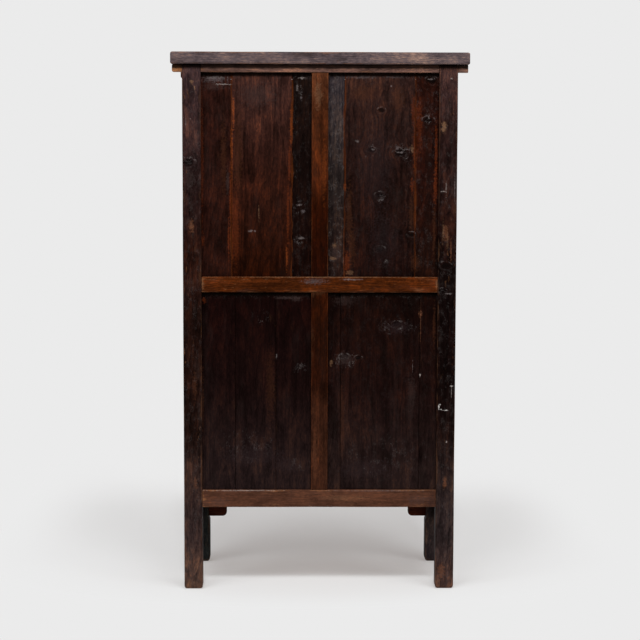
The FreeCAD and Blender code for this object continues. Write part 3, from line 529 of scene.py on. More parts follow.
def wood(name, tone=None, along="z", rough=0.42, wear=0.6, contrast=0.55, dust=0.1, rim=0.0, chips=0.0,
         crazed_glint=0.0, grime=None, marks=(), knots=()):
    """Varnished wood; without a tone it reads the timber's own tone, grain and edges.

    The painted shade and dirt argument gives the low and high corners of the opening that a panel fills,
    and the shade's reach.
    """
    settings = bpy.context.scene.cabinet_wood
    material, tree, shader = new_material(name)
    where = place(tree)
    if tone is None:
        grain, edge = attribute(tree, "grain", "Vector"), attribute(tree, "arris", "Fac")
        base = attribute(tree, "tone", "Color")
        # cracked varnish with its painted glints, from the timber's points and the given amount
        lifted = plus(tree, attribute(tree, "flake_glint", "Fac"), crazed_glint)
    else:
        grain, edge, base, lifted = grain_from_place(tree, along), 0.0, solid(tone), crazed_glint
    found = [
        place_group(tree, "Knot", Position=where, Centre=centre, Radius=radius)
        for centre, radius in knots
    ]
    for knot in found:
        grain = vector_node(tree, "ADD", grain, knot["Shift"])
    figure = place_group(tree, "Sawn grain", Grain=grain, Tone=base, Contrast=contrast)
    worn = place_group(tree, "Rubbed edges", Grain=grain, Edge=edge, Amount=wear)
    masks = [
        (place_group(tree, "Mark", Position=where, Centre=centre, Size=size)["Mask"], tint, strength)
        for centre, size, tint, strength in marks
    ]
    for mask, tint, strength in masks:
        if tint is None:
            lifted = plus(tree, lifted, times(tree, mask, strength))
    # cracked varnish: its relief, and where its painted glints fall
    skin = place_group(tree, "Crazed varnish and glints", Grain=grain, Amount=lifted)

    def over(colour, mask, strength, tint):
        return mix(tree, times(tree, mask, strength, clamp=True), colour, solid(tint))

    colour = figure["Color"]
    if rim:
        thin = place_group(tree, "Thinned rims", Grain=grain, Rim=attribute(tree, "rim", "Fac"), Width=rim)
        colour = over(colour, thin["Mask"], RIM_COVER, settings.thinned)
    colour = over(colour, worn["Worn"], 1.0, settings.bare)
    colour = over(colour, worn["Dust"], dust, settings.dust)
    if chips:
        colour = over(colour, worn["Chips"], chips, settings.bare)
    height = plus(tree, figure["Height"], times(tree, skin["Height"], SKIN_HEIGHT))
    for knot in found:
        colour = over(colour, knot["Core"], KNOT_COVER, settings.knot)
        # a painted glint over each knot
        colour = over(colour, knot["Glint"], KNOT_GLINT_COVER, settings.glint)
        height = minus(tree, height, times(tree, knot["Core"], KNOT_DEPTH))
    for mask, tint, strength in masks:
        if tint is not None:
            colour = over(colour, mask, strength, tint)
            height = minus(tree, height, times(tree, mask, MARK_SINK))
    # painted glints along the cracks of the varnish
    colour = over(colour, skin["Glint"], GLINT_COVER, settings.glint)
    # painted shade, with some dirt, near the edges of the opening or under a height
    if grime:
        low, high, reach = grime
        corner = place_group(tree, "Corner shade and dirt", Position=where, Low=low, High=high, Width=reach)
        colour = over(colour, corner["Mask"], SHADE_AND_GRIME_COVER, settings.grime)
    feed(tree, shader.inputs["Base Color"], colour)
    streaked = scaled(tree, figure["Streak"], STREAK_ROUGHNESS, rough - STREAK_ROUGHNESS / 2)
    rubbed = times(tree, worn["Worn"], WORN_ROUGHNESS)
    feed(tree, shader.inputs["Roughness"], plus(tree, streaked, rubbed, clamp=True))
    bumped(tree, shader, height, strength=0.5, distance=0.0008)
    shader.inputs["Specular IOR Level"].default_value = settings.gloss
    shader.inputs["Specular Tint"].default_value = solid(settings.sheen)
    return material


def bare_wood(name, along, tone, wear=0.1):
    """Wood of the inside, for CAD nodes that stay in place."""
    return wood(name, tone=tone, along=along, rough=0.6, wear=wear, contrast=0.6, dust=0.2)


# stains and scars that the old finish shows, and painted sheen, glints, highlights and shade: screen colour
# and usual strength
STAINS_AND_GLINTS = {
    "dusk": ((40, 30, 31), 0.45),
    "umber": ((22, 12, 9), 0.6),
    "brown": ((68, 38, 23), 0.45),
    # a grey filmy tone; its rows at the heads of the back boards are painted sheen and glints
    "film": ((62, 50, 48), 0.45),
    # painted sheen and glints on the varnish, at the boards' heads, round knots and on the middle rail
    "haze": ((104, 96, 97), 0.5),
    "rust": ((102, 44, 18), 0.6),
    "orange": ((146, 70, 28), 0.65),
    "rubbed": ((108, 68, 47), 0.6),
    "bare": ((130, 96, 70), 0.6),
    # pale cracks in the varnish painted light as their glints, and painted highlights along the bottom
    # rail's top arris
    "crease": ((126, 116, 114), 0.55),
    # pale marks scored into the varnish, and painted glints at the boards' heads and a painted highlight
    # along the bottom rail's top arris
    "scratch": ((166, 154, 148), 0.65),
    "paint": ((200, 193, 188), 0.88),
    # lifting varnish: no colour, only more cracking with its painted glints
    "lifted": (None, 1.0),
}
MARK_DEPTH = 0.008


def marks_on(y, marks):
    """Marks on a face at Y, from rows of X, Z, half width and half height in millimetres for each kind of
    stain, sheen and glint.

    A fifth number is the row's own strength. Lifting varnish has no colour of its own: it only adds
    cracking with painted glints.
    """
    found = []
    for stain, rows in marks.items():
        tint, usual = STAINS_AND_GLINTS[stain]
        for x, z, wide, tall, *own in rows:
            size = (wide * MM, MARK_DEPTH, tall * MM)
            found.append(((x * MM, y, z * MM), size, tint and linear(*tint), own[0] if own else usual))
    return found


def knots_on(y, rows):
    """Knots on a face at Y, from rows of X, Z and radius in millimetres."""
    return [((x * MM, y, z * MM), radius * MM) for x, z, radius in rows]


def brass():
    """Tarnished brass, brighter where it is handled."""
    material, tree, shader = new_material("tarnished_brass")
    bright, dull = solid(linear(176, 136, 70)), solid(linear(70, 52, 34))
    where = place(tree)
    tarnish = ramp(tree, noise_node(tree, where, 160.0, 5, 0.65), 0.38, 0.66)
    feed(tree, shader.inputs["Base Color"], mix(tree, tarnish, bright, dull))
    feed(tree, shader.inputs["Roughness"], scaled(tree, tarnish, 0.3, 0.3))
    shader.inputs["Metallic"].default_value = 1.0
    bumped(tree, shader, noise_node(tree, where, 420.0, 3), strength=0.3, distance=0.0003)
    return material


# timber meshes

# steps round an arris, and the most of a timber's thickness that its rounding may take
ARC_STEPS, ROUND_SHARE = 3, 0.499
# how near an arris a corner's flanks and a rounded end count, from 0 to 1
FLANK_NEARNESS, END_NEARNESS = 0.35, 0.9
# shares of an end's rounding where a timber is cut
END_CUTS = (0.1, 0.3, 0.6)
# how a timber's seed moves its noise and its grain
SEED_STEPS, SEED_GRAIN = (7.31, 3.17, 1.93), (1.7, 0.011, 0.017)
# waves in a metre of an arris's width, of its nicks, and of the plane's hollows along and across
ARRIS_WAVES, NICK_WAVES, PLANE_WAVES = 5.0, 21.0, (6.0, 24.0)
# the usual share of an arris's rounding, and how far that swings
ARRIS_MEAN, ARRIS_SWING = 0.75, 0.5
# the noise from which nicks begin, and how far from the arris's own noise it is taken
NICK_LEVEL, NICK_OFFSET = 0.35, 4.0
# the fewest cells along a timber and across one of its faces
FEWEST_ALONG, FEWEST_ACROSS = 4, 2
# how far a timber's grain leans, and how that turns from seed to seed
GRAIN_TILT, TILT_TURN = 0.012, 12.9


def outline(width, depth, radii, counts):
    """Points round a bar's section, anticlockwise: place, outward normal, and nearness to an arris."""
    corners = ((0, 0), (1, 0), (1, 1), (0, 1))
    arcs = []
    for number, ((b, c), radius) in enumerate(zip(corners, radii)):
        centre_b = radius if b == 0 else width - radius
        centre_c = radius if c == 0 else depth - radius
        start = math.pi * (1.0 + 0.5 * number)
        arc = []
        for step in range(ARC_STEPS + 1):
            angle = start + math.pi / 2 * step / ARC_STEPS
            normal = (math.cos(angle), math.sin(angle))
            near = math.sin(math.pi * step / ARC_STEPS) * (1 - FLANK_NEARNESS) + FLANK_NEARNESS
            arc.append((centre_b + radius * normal[0], centre_c + radius * normal[1], normal, near))
        arcs.append(arc)
    points = []
    for number, arc in enumerate(arcs):
        points += arc
        start_b, start_c, normal, _ = arc[-1]
        stop_b, stop_c, _, _ = arcs[(number + 1) % 4][0]
        count = counts[number % 2]
        for step in range(1, count):
            share = step / count
            flat_b, flat_c = start_b + (stop_b - start_b) * share, start_c + (stop_c - start_c) * share
            points.append((flat_b, flat_c, normal, 0.0))
    return points


def tone_at(tone, share):
    """The tone at a share of a timber's length; a plain tone holds all along."""
    if isinstance(tone[0], float):
        return tone
    for (first, start), (last, stop) in zip(tone, tone[1:]):
        if share <= last:
            part = (share - first) / (last - first)
            return tuple(a + (b - a) * part for a, b in zip(start, stop))
    return tone[-1][1]


def cuts_along(length, first_round, last_round, pitch, fine):
    """The places where a timber is cut across, closer together at its rounded ends."""
    inner = length - first_round - last_round
    runs = max(FEWEST_ALONG, round(inner / pitch))
    places = {first_round + inner * k / runs for k in range(runs + 1)} | {0.0, length}
    places |= {first_round * share for share in END_CUTS}
    places |= {length - last_round * share for share in END_CUTS}
    places |= {length - far for far in fine} | set(fine)
    return sorted(places)


def timber(name, low, high, along, tone, seed, arris=None, radii=None, end_round=0.0015, ends=None,
           shaped=None, pitch=0.02, nicks=0.0, flake_glint=0.0, fine=()):
    """A hand-planed bar or board between two corners, with soft worn arrises.

    tone is one colour, or pairs of a share of the length and a colour. radii gives each arris a fixed
    rounding. ends(b, c) gives the two ends of a mitred bar, shaped(point) moves a finished point, and
    fine lists extra distances from both ends where the mesh is cut.
    """
    settings = bpy.context.scene.cabinet_wood
    arris = settings.arris if arris is None else arris
    a = AXES.index(along)
    b, c = (a + 1) % 3, (a + 2) % 3
    low, high = Vector(low), Vector(high)
    length, width, depth = (high[k] - low[k] for k in (a, b, c))
    widest_arris = min(width, depth) * ROUND_SHARE
    first_round, last_round = end_round if isinstance(end_round, tuple) else (end_round, end_round)
    stations = cuts_along(length, first_round, last_round, pitch, fine)
    counts = [max(FEWEST_ACROSS, round(size / pitch)) for size in (width, depth)]
    shift = Vector([seed * step for step in SEED_STEPS])
    seed_along, seed_across, seed_deep = (seed * step for step in SEED_GRAIN)
    tilt = GRAIN_TILT * math.sin(seed * TILT_TURN)
    plane_along, plane_across = PLANE_WAVES
    points, grains, edges, rims, tones = [], [], [], [], []
    for s in stations:
        wander = ARRIS_MEAN + ARRIS_SWING * noise.noise(Vector((s * ARRIS_WAVES, 0.0, 0.0)) + shift)
        nick = noise.noise(Vector((s * NICK_WAVES, NICK_OFFSET, 0.0)) + shift) - NICK_LEVEL
        worn = min(widest_arris, arris * wander + max(0.0, nick) * nicks)
        section = outline(width, depth, radii or (worn,) * 4, counts)
        end, from_end = (first_round, s) if s < length / 2 else (last_round, length - s)
        at_end = from_end < end
        inset = end - math.sqrt(max(0.0, end**2 - (end - from_end) ** 2)) if at_end else 0.0
        here = tone_at(tone, s / length)
        for pb, pc, (nb, nc), near in section:
            where = Vector((s * plane_along, (low[b] + pb) * plane_across, (low[c] + pc) * plane_across))
            sink = settings.plane_marks * (0.5 + 0.5 * noise.noise(where + shift))
            b_in = width / 2 + (pb - width / 2) * (1 - 2 * inset / width)
            c_in = depth / 2 + (pc - depth / 2) * (1 - 2 * inset / depth)
            point = Vector()
            point[a] = low[a] + s
            point[b] = low[b] + b_in - nb * sink
            point[c] = low[c] + c_in - nc * sink
            if ends:
                first, last = ends(point[b], point[c])
                point[a] = first + (last - first) * s / length
            if shaped:
                shaped(point)
            points.append(point)
            grains.append((s + seed_along, pb - width / 2 + tilt * s + seed_across, pc + seed_deep))
            edges.append(max(near, END_NEARNESS if at_end else 0.0))
            rims.append(min(pb, width - pb) if width > depth else min(pc, depth - pc))
            tones.append(here)
    ring = len(section)
    faces = []
    for i in range(len(stations) - 1):
        for j in range(ring):
            k = (j + 1) % ring
            faces.append((i * ring + j, i * ring + k, (i + 1) * ring + k, (i + 1) * ring + j))
    faces.append(tuple(reversed(range(ring))))
    faces.append(tuple(range((len(stations) - 1) * ring, len(stations) * ring)))
    # how much cracked varnish, with its painted glints, each point carries
    flake_glints = [flake_glint(point) if callable(flake_glint) else flake_glint for point in points]
    return meshed(name, points, faces, tones, grains, {"arris": edges, "rim": rims, "flake_glint": flake_glints})


def linked(name, data):
    """A new object in the scene for a mesh, a lamp or a camera."""
    made = bpy.data.objects.new(name, data)
    bpy.context.scene.collection.objects.link(made)
    return made


def meshed(name, points, faces, tones, grains, values):
    """A mesh object that carries its own tones and grain, and the named values of each point."""
    mesh = bpy.data.meshes.new(name)
    mesh.from_pydata(points, [], faces)
    mesh.polygons.foreach_set("use_smooth", [len(face) == 4 for face in faces])
    grain = mesh.attributes.new("grain", "FLOAT_VECTOR", "POINT")
    grain.data.foreach_set("vector", [v for g in grains for v in g])
    for kind, numbers in values.items():
        mesh.attributes.new(kind, "FLOAT", "POINT").data.foreach_set("value", numbers)
    colour = mesh.attributes.new("tone", "FLOAT_COLOR", "POINT")
    colour.data.foreach_set("color", [v for tone in tones for v in solid(tone)])
    mesh.validate()
    return linked(name, mesh)


def hoop(name, low, high, around=64, sides=14):
    """A ring of round wire that fills a flat box."""
    middle = (low + high) / 2
    wire = (high.y - low.y) / 2
    radius = (high.x - low.x) / 2 - wire
    points, faces = [], []
    for i in range(around):
        turn = 2 * math.pi * i / around
        for j in range(sides):
            roll = 2 * math.pi * j / sides
            far = radius + wire * math.cos(roll)
            spoke = Vector((far * math.sin(turn), wire * math.sin(roll), far * math.cos(turn)))
            points.append(middle + spoke)
            k, m = (i + 1) % around * sides, (j + 1) % sides
            faces.append((i * sides + j, i * sides + m, k + m, k + j))
    mesh = bpy.data.meshes.new(name)
    mesh.from_pydata(points, [], faces)
    mesh.shade_smooth()
    return linked(name, mesh)


# placing

# how a CAD node that stays is welded and softened at its edges
WELD_REACH, SOFT_SEGMENTS, SOFT_ANGLE = 0.00001, 2, math.radians(35)


def dressed(piece, material, body, slot, *nodes):
    """Gives a piece its material, hangs it on the body it rides on, and hides the CAD nodes it stands for.
    """
    piece.data.materials.clear()
    piece.data.materials.append(material)
    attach(piece, body)
    if nodes:
        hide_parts(*nodes)


def keep(node, material, soften=0.0008):
    """Leaves a CAD node in place with a material and softened edges."""
    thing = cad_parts[node]
    thing.data.materials.clear()
    thing.data.materials.append(material)
    weld = thing.modifiers.new("weld", "WELD")
    weld.merge_threshold = WELD_REACH
    edge = thing.modifiers.new("soft edges", "BEVEL")
    edge.width = soften
    edge.segments = SOFT_SEGMENTS
    edge.limit_method = "ANGLE"
    edge.angle_limit = SOFT_ANGLE
    edge.use_clamp_overlap = True


def stands_for(node, number):
    """The first board of a panel stands for the panel's node."""
    return (node,) if number == 0 else ()


def shade(tone, factor):
    return tuple(v * factor for v in tone)


def tones_along(*stops):
    """A tone that changes along a timber, from shares of its length and screen colours."""
    return tuple((share, linear(*colour)) for share, colour in stops)


def board_edges(node, axis, least=0.01):
    """The places along an axis where a node's boards begin and end."""
    places = sorted(v.co[AXES.index(axis)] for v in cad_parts[node].data.vertices)
    found = [places[0]]
    for edge in places:
        if edge - found[-1] > least:
            found.append(edge)
    return found


def trimmed(node, axis, low, high):
    """A node's box cut back to its shoulders along one axis."""
    first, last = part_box(node)
    k = AXES.index(axis)
    first[k], last[k] = max(first[k], low), min(last[k], high)
    return first, last


POST_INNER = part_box("rear_right_post")[0].x
FRONT_POST_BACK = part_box("front_right_post")[1].y
REAR_POST_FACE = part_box("rear_right_post")[0].y
CAP_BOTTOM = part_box("cap_rear")[0].z
OUT = 9.0  # a corner far outside the cabinet


def under(height, reach):
    """Painted shade, with some dirt, under a height, on all sides alike."""
    return (-OUT, -OUT, -OUT), (OUT, OUT, height), reach


# pieces


class PieceOperator:
    """What the operators of all pieces share."""

    bl_options = {"REGISTER", "UNDO"}

    @property
    def wood(self):
        return bpy.context.scene.cabinet_wood


class CABINET_OT_cap(PieceOperator, bpy.types.Operator):
    """Mitred frame of the cap round its boarded panel"""

    bl_idname = "cabinet.cap"
    bl_label = "Cap"

    # rounding of each member's four arrises
    radii = {
        "front": (0.004, 0.0015, 0.0015, 0.005),
        "rear": (0.0015, 0.004, 0.005, 0.0015),
        "left": (0.004, 0.002, 0.0015, 0.0015),
        "right": (0.0015, 0.0015, 0.002, 0.004),
    }
    seeds = {"front": 8, "rear": 7, "left": 11, "right": 12}
    pitch, side_shade = 0.016, 0.92
    # rounding of the cap's upper corners, and the shares of it where the long members are cut
    corner, corner_cuts = 0.007, (0.08, 0.3, 0.6, 1.0)
    # the panel's boards: edges as shares of its half depth, shades, and their own sizes
    board_cuts, board_shades, board_seed = (-1.0, -0.35, 0.28, 1.0), (0.9, 1.02, 0.84), 21
    board_arris, board_gap, board_drop = 0.0012, 0.0006, 0.0008

    def execute(self, context):
        finish = wood("cap_wood", rough=0.55, wear=0.5, contrast=0.85, dust=0.4, chips=0.35)
        low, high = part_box("cap_rear")
        outer_y, half, middle = high.y, high.x, (low.z + high.z) / 2

        def blunted(point):
            """Rounds the cap's upper corners."""
            into_corner = max(0.0, abs(point.x) - half + self.corner)
            if point.z > middle:
                point.z -= self.corner - math.sqrt(max(0.0, self.corner**2 - into_corner**2))

        def mitred_across(y, z):
            reach = half - (outer_y - abs(y))
            return -reach, reach

        def mitred_deep(z, x):
            reach = outer_y - (half - abs(x))
            return -reach, reach

        for name, radii in self.radii.items():
            options = {"along": "y", "tone": shade(self.wood.cap, self.side_shade), "ends": mitred_deep}
            if name not in SIDES:
                options = {"along": "x", "tone": self.wood.cap, "ends": mitred_across,
                           "fine": [self.corner * share for share in self.corner_cuts]}
            bar = timber(f"cap_{name}_member", *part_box(f"cap_{name}"), seed=self.seeds[name], radii=radii,
                         end_round=0.0, shaped=blunted, pitch=self.pitch, **options)
            dressed(bar, finish, "frame", "cap_wood", f"cap_{name}")
        self.boards(finish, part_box("cap_right")[0].x, low.y)
        return {"FINISHED"}

    def boards(self, finish, inner_x, inner_y):
        """Boards of the panel inside the cap's frame."""
        low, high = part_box("cap_panel")
        gap = self.wood.joint_gap
        for number, (first, last) in enumerate(zip(self.board_cuts, self.board_cuts[1:])):
            board = timber(
                f"cap_board_{number + 1}",
                (-inner_x + self.board_gap, first * inner_y + gap, low.z),
                (inner_x - self.board_gap, last * inner_y - gap, high.z - self.board_drop),
                "x", shade(self.wood.cap, self.board_shades[number]), self.board_seed + number,
                arris=self.board_arris,
            )
            dressed(board, finish, "frame", "cap_wood", *stands_for("cap_panel", number))


class CABINET_OT_cornice(PieceOperator, bpy.types.Operator):
    """Rounded moulding under the cap's overhang"""

    bl_idname = "cabinet.cornice"
    bl_label = "Cornice"

    # rounding of each moulding's four arrises
    radii = {
        "front": (0.010, 0.0015, 0.0015, 0.003),
        "left": (0.008, 0.004, 0.0015, 0.0015),
        "right": (0.0015, 0.0015, 0.003, 0.008),
    }
    seeds = {"front": 31, "left": 33, "right": 34}

    def execute(self, context):
        finish = wood("cornice_wood", rough=0.5, wear=0.55, contrast=0.6, dust=0.15)
        low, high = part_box("cornice_front")
        side_low, side_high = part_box("cornice_right")
        inner, outer_y, wall_y = side_low.x, low.y, high.y

        def mitred_front(y, z):
            reach = inner + (high.x - inner) * (wall_y - y) / (wall_y - outer_y)
            return -reach, reach

        def mitred_side(z, x):
            share = (abs(x) - inner) / (high.x - inner)
            return wall_y + (outer_y - wall_y) * share, side_high.y

        for name, radii in self.radii.items():
            along, ends = ("y", mitred_side) if name in SIDES else ("x", mitred_front)
            bar = timber(f"cornice_{name}_moulding", *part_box(f"cornice_{name}"), along, self.wood.door,
                         self.seeds[name], ends=ends, radii=radii, end_round=0.0)
            dressed(bar, finish, "frame", "cap_wood", f"cornice_{name}")
        return {"FINISHED"}


class CABINET_OT_posts(PieceOperator, bpy.types.Operator):
    """Four posts that run down to worn feet"""

    bl_idname = "cabinet.posts"
    bl_label = "Posts"

    # tones from the foot to the cap
    tones = {
        "front_left": (
            (0.0, (48, 40, 42)), (0.09, (40, 33, 33)), (0.16, (34, 27, 27)), (0.3, (76, 39, 28)),
            (1.0, (76, 39, 28)),
        ),
        "front_right": (
            (0.0, (29, 32, 32)), (0.16, (22, 25, 25)), (0.3, (76, 39, 28)), (1.0, (76, 39, 28)),
        ),
        "rear_left": (
            (0.0, (57, 40, 36)), (0.1, (43, 34, 34)), (0.3, (18, 8, 7)), (0.45, (10, 4, 4)),
            (0.6, (10, 4, 4)), (0.68, (18, 7, 6)), (0.9, (43, 26, 24)), (1.0, (56, 38, 37)),
        ),
        "rear_right": (
            (0.0, (64, 47, 41)), (0.1, (45, 33, 32)), (0.3, (24, 12, 9)), (0.65, (25, 10, 7)),
            (0.9, (47, 31, 31)), (1.0, (59, 43, 44)),
        ),
    }
    # marks and knots of the rear faces, in rows as marks_on and knots_on take them
    marks = {
        "umber": ((432, 1246, 5, 15, 0.9),),
        "brown": ((424, 706, 10, 60, 0.6),),
        "film": ((439, 1405, 22, 45), (-407, 1671, 5, 17, 0.6)),
        "rubbed": (
            (-426, 1225, 12, 35, 0.5), (-444, 1167, 4, 50, 0.5), (-431, 370, 8, 24, 0.7),
            (-420, 62, 16, 36), (423, 370, 10, 30, 0.4), (433, 1246, 11, 26, 0.85),
        ),
        "bare": (
            (-417, 1581, 10, 22, 0.8), (431, 1731, 7, 10), (420, 1711, 4, 8, 0.8),
            (-417, 1228, 5, 44, 0.35), (-432, 1197, 5, 37, 0.25),
        ),
        "crease": ((-440, 1021, 12, 4), (450, 1597, 2, 20, 0.4), (-455, 1383, 2, 51, 0.5)),
        "scratch": (
            (-440, 1744, 6, 4), (-417, 1366, 10, 2.5), (-450, 685, 1.5, 28, 0.55), (-435, 512, 3, 4, 0.85),
            (435, 1607, 3, 3), (-426, 1376, 2.5, 30, 0.4),
        ),
        "paint": (
            (-407.5, 633, 3, 9), (-411.5, 641, 4, 2.5), (-414.5, 624, 7, 3), (-430, 621, 13, 2.5),
            (-449, 705, 8, 2, 0.75),
        ),
    }
    knots = ((442, 1462, 16), (-427, 1116, 14), (-416, 1030, 10))
    # rounding of the worn feet
    feet = {"front": 0.014, "rear": 0.011}
    seed, arris, nicks, pitch = 41, 0.005, 0.014, 0.014
    grime_reach, swell_run = 0.017, 0.01

    def execute(self, context):
        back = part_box("rear_right_post")[1].y
        # the posts get painted shade, with some dirt, under the cap
        finish = wood(
            "post_wood", rough=0.46, wear=0.16, contrast=1.0, dust=0.14, chips=0.25, crazed_glint=0.15,
            grime=under(CAP_BOTTOM, self.grime_reach), marks=marks_on(back, self.marks),
            knots=knots_on(back, self.knots),
        )
        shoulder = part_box("front_right_spandrel")[0].z
        for number, (name, stops) in enumerate(self.tones.items()):
            node = f"{name}_post"
            low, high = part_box(node)
            swell = POST_INNER - min(abs(low.x), abs(high.x))
            if low.x > 0:
                low.x = POST_INNER
            else:
                high.x = -POST_INNER
            high.z = CAP_BOTTOM
            thick = high.x - low.x

            def swollen(point):
                """Widens a leg inwards below its spandrel."""
                share = min(1.0, max(0.0, (shoulder - point.z) / self.swell_run))
                inward = (thick - abs(abs(point.x) - POST_INNER)) / thick
                point.x -= math.copysign(swell * share * inward, point.x)

            foot = self.feet[name.split("_")[0]]
            bar = timber(f"{name}_leg", low, high, "z", tones_along(*stops), self.seed + number,
                         arris=self.arris, end_round=(foot, 0.0), nicks=self.nicks, pitch=self.pitch,
                         shaped=swollen)
            dressed(bar, finish, "frame", "post_wood", node)
        return {"FINISHED"}


class CABINET_OT_rails(PieceOperator, bpy.types.Operator):
    """Rails between the posts and the muntins of the back"""

    bl_idname = "cabinet.rails"
    bl_label = "Rails and muntins"

    # marks of the rear faces, in rows as marks_on takes them
    marks = {
        "dusk": ((-386, 306, 20, 34, 0.5),),
        # the long dark row along the middle rail's lower arris is painted shade
        "umber": (
            (10, 312, 9, 8), (112, 1034, 61, 4, 0.5), (0, 1027, 424, 2.5, 0.5), (-255, 1041, 88, 8, 0.3),
        ),
        "film": ((344, 301, 41, 20, 0.4), (-337, 309, 51, 20)),
        # painted sheen on the middle rail
        "haze": ((20, 1061, 51, 12, 0.4),),
        "orange": ((197, 1062, 102, 7, 0.2), (-272, 1061, 75, 5, 0.25)),
        # the bare rows at the middle rail's ends and the long one along its top arris are painted
        # highlights
        "bare": (
            (-398, 1051, 7, 24), (397, 1052, 5, 24, 0.4), (0, 1076, 424, 2.5), (-86, 317, 102, 12, 0.2),
        ),
        # the long pale rows along the bottom rail's top arris are painted highlights
        "crease": ((-109, 1068, 41, 4, 0.5), (-206, 342, 203, 2, 0.4)),
        "scratch": ((254, 343, 149, 2.5, 0.5),),
    }
    muntin_marks = {
        "umber": ((-17, 835, 9, 140, 0.5), (16, 1440, 7, 110, 0.2)),
        "orange": ((-14, 1440, 10, 130, 0.22),),
        "rubbed": ((16, 470, 10, 130, 0.2),),
        "bare": ((7, 1688, 17, 54, 0.35),),
    }
    # tones of the top rail from its left end to its right one, paler at the right end as bare wood and as
    # painted light where that end catches the light; and of the muntins from foot to head
    top_rail_ends = (
        (0.0, (104, 79, 72)), (0.96, (112, 83, 72)), (0.97, (120, 84, 60)), (1.0, (128, 94, 70)),
    )
    upper_muntin = (
        (0.0, (29, 7, 2)), (0.34, (33, 9, 2)), (0.46, (50, 21, 8)), (0.8, (66, 32, 15)),
        (1.0, (86, 48, 29)),
    )
    lower_muntin = ((0.0, (53, 29, 19)), (0.42, (49, 25, 15)), (0.54, (33, 12, 5)), (1.0, (25, 7, 2)))
    seed, ends_seed, side_seed, muntin_seed = 51, 56, 61, 71
    arris, ends_arris, muntin_arris, nicks = 0.003, 0.004, 0.0025, 0.004
    grime_reach, ends_inset, ends_round = 0.0175, 0.005, (0.0015, 0.006)

    def execute(self, context):
        self.across()
        self.aside()
        self.uprights()
        return {"FINISHED"}

    def across(self):
        """Rails of the back and the front, and the top rail's ends beside the posts."""
        marks = marks_on(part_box("rear_mid_rail")[1].y, self.marks)
        plain = wood("rail_wood", rough=0.45, wear=0.5, contrast=0.85, dust=0.12, chips=0.3, marks=marks)
        # the top rail gets painted shade, with some dirt, under the cap
        shaded = wood("top_rail_wood", rough=0.45, wear=0.5, contrast=0.8, dust=0.1, chips=0.3,
                      grime=under(CAP_BOTTOM, self.grime_reach))
        calm = wood("bottom_rail_wood", rough=0.45, wear=0.6, contrast=0.5, dust=0.15, chips=0.2,
                    marks=marks)
        rails = {
            "rear_top_rail": (self.wood.top_rail, shaded),
            "rear_mid_rail": (self.wood.mid_rail, plain),
            "rear_bottom_rail": (self.wood.bottom_rail, calm),
            "front_top_rail": (self.wood.door, plain),
            "front_bottom_rail": (self.wood.door, plain),
        }
        for number, (node, (tone, finish)) in enumerate(rails.items()):
            low, high = trimmed(node, "x", -POST_INNER, POST_INNER)
            bar = timber(f"{node}_bar", low, high, "x", tone, self.seed + number, arris=self.arris,
                         nicks=self.nicks)
            dressed(bar, finish, "frame", "rail_wood", node)
        low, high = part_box("rear_top_rail")
        low.y, high.y = low.y + self.ends_inset, high.y - self.ends_inset
        ends = timber("rear_top_rail_ends", low, high, "x", tones_along(*self.top_rail_ends),
                      self.ends_seed, arris=self.ends_arris, end_round=self.ends_round)
        dressed(ends, shaded, "frame", "rail_wood")

    def aside(self):
        """Rails of the two sides."""
        finish = wood("side_rail_wood", rough=0.42, wear=0.3, contrast=0.7, dust=0.06)
        nodes = [f"{side}_{level}_rail" for side in SIDES for level in ("top", "bottom")]
        for number, node in enumerate(nodes):
            low, high = trimmed(node, "y", FRONT_POST_BACK, REAR_POST_FACE)
            bar = timber(f"{node}_bar", low, high, "y", self.wood.door, self.side_seed + number,
                         arris=self.arris)
            dressed(bar, finish, "frame", "rail_wood", node)

    def uprights(self):
        """Muntins between the rails of the back."""
        marks = marks_on(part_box("upper_muntin")[1].y, self.muntin_marks)
        finish = wood("muntin_wood", rough=0.42, wear=0.12, contrast=0.75, dust=0.04, rim=0.003,
                      marks=marks)
        muntins = {
            "upper_muntin": ("rear_mid_rail", "rear_top_rail", self.upper_muntin),
            "lower_muntin": ("rear_bottom_rail", "rear_mid_rail", self.lower_muntin),
        }
        for number, (node, (below, above, stops)) in enumerate(muntins.items()):
            low, high = trimmed(node, "z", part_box(below)[1].z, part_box(above)[0].z)
            bar = timber(f"{node}_bar", low, high, "z", tones_along(*stops), self.muntin_seed + number,
                         arris=self.muntin_arris)
            dressed(bar, finish, "frame", "rail_wood", node)


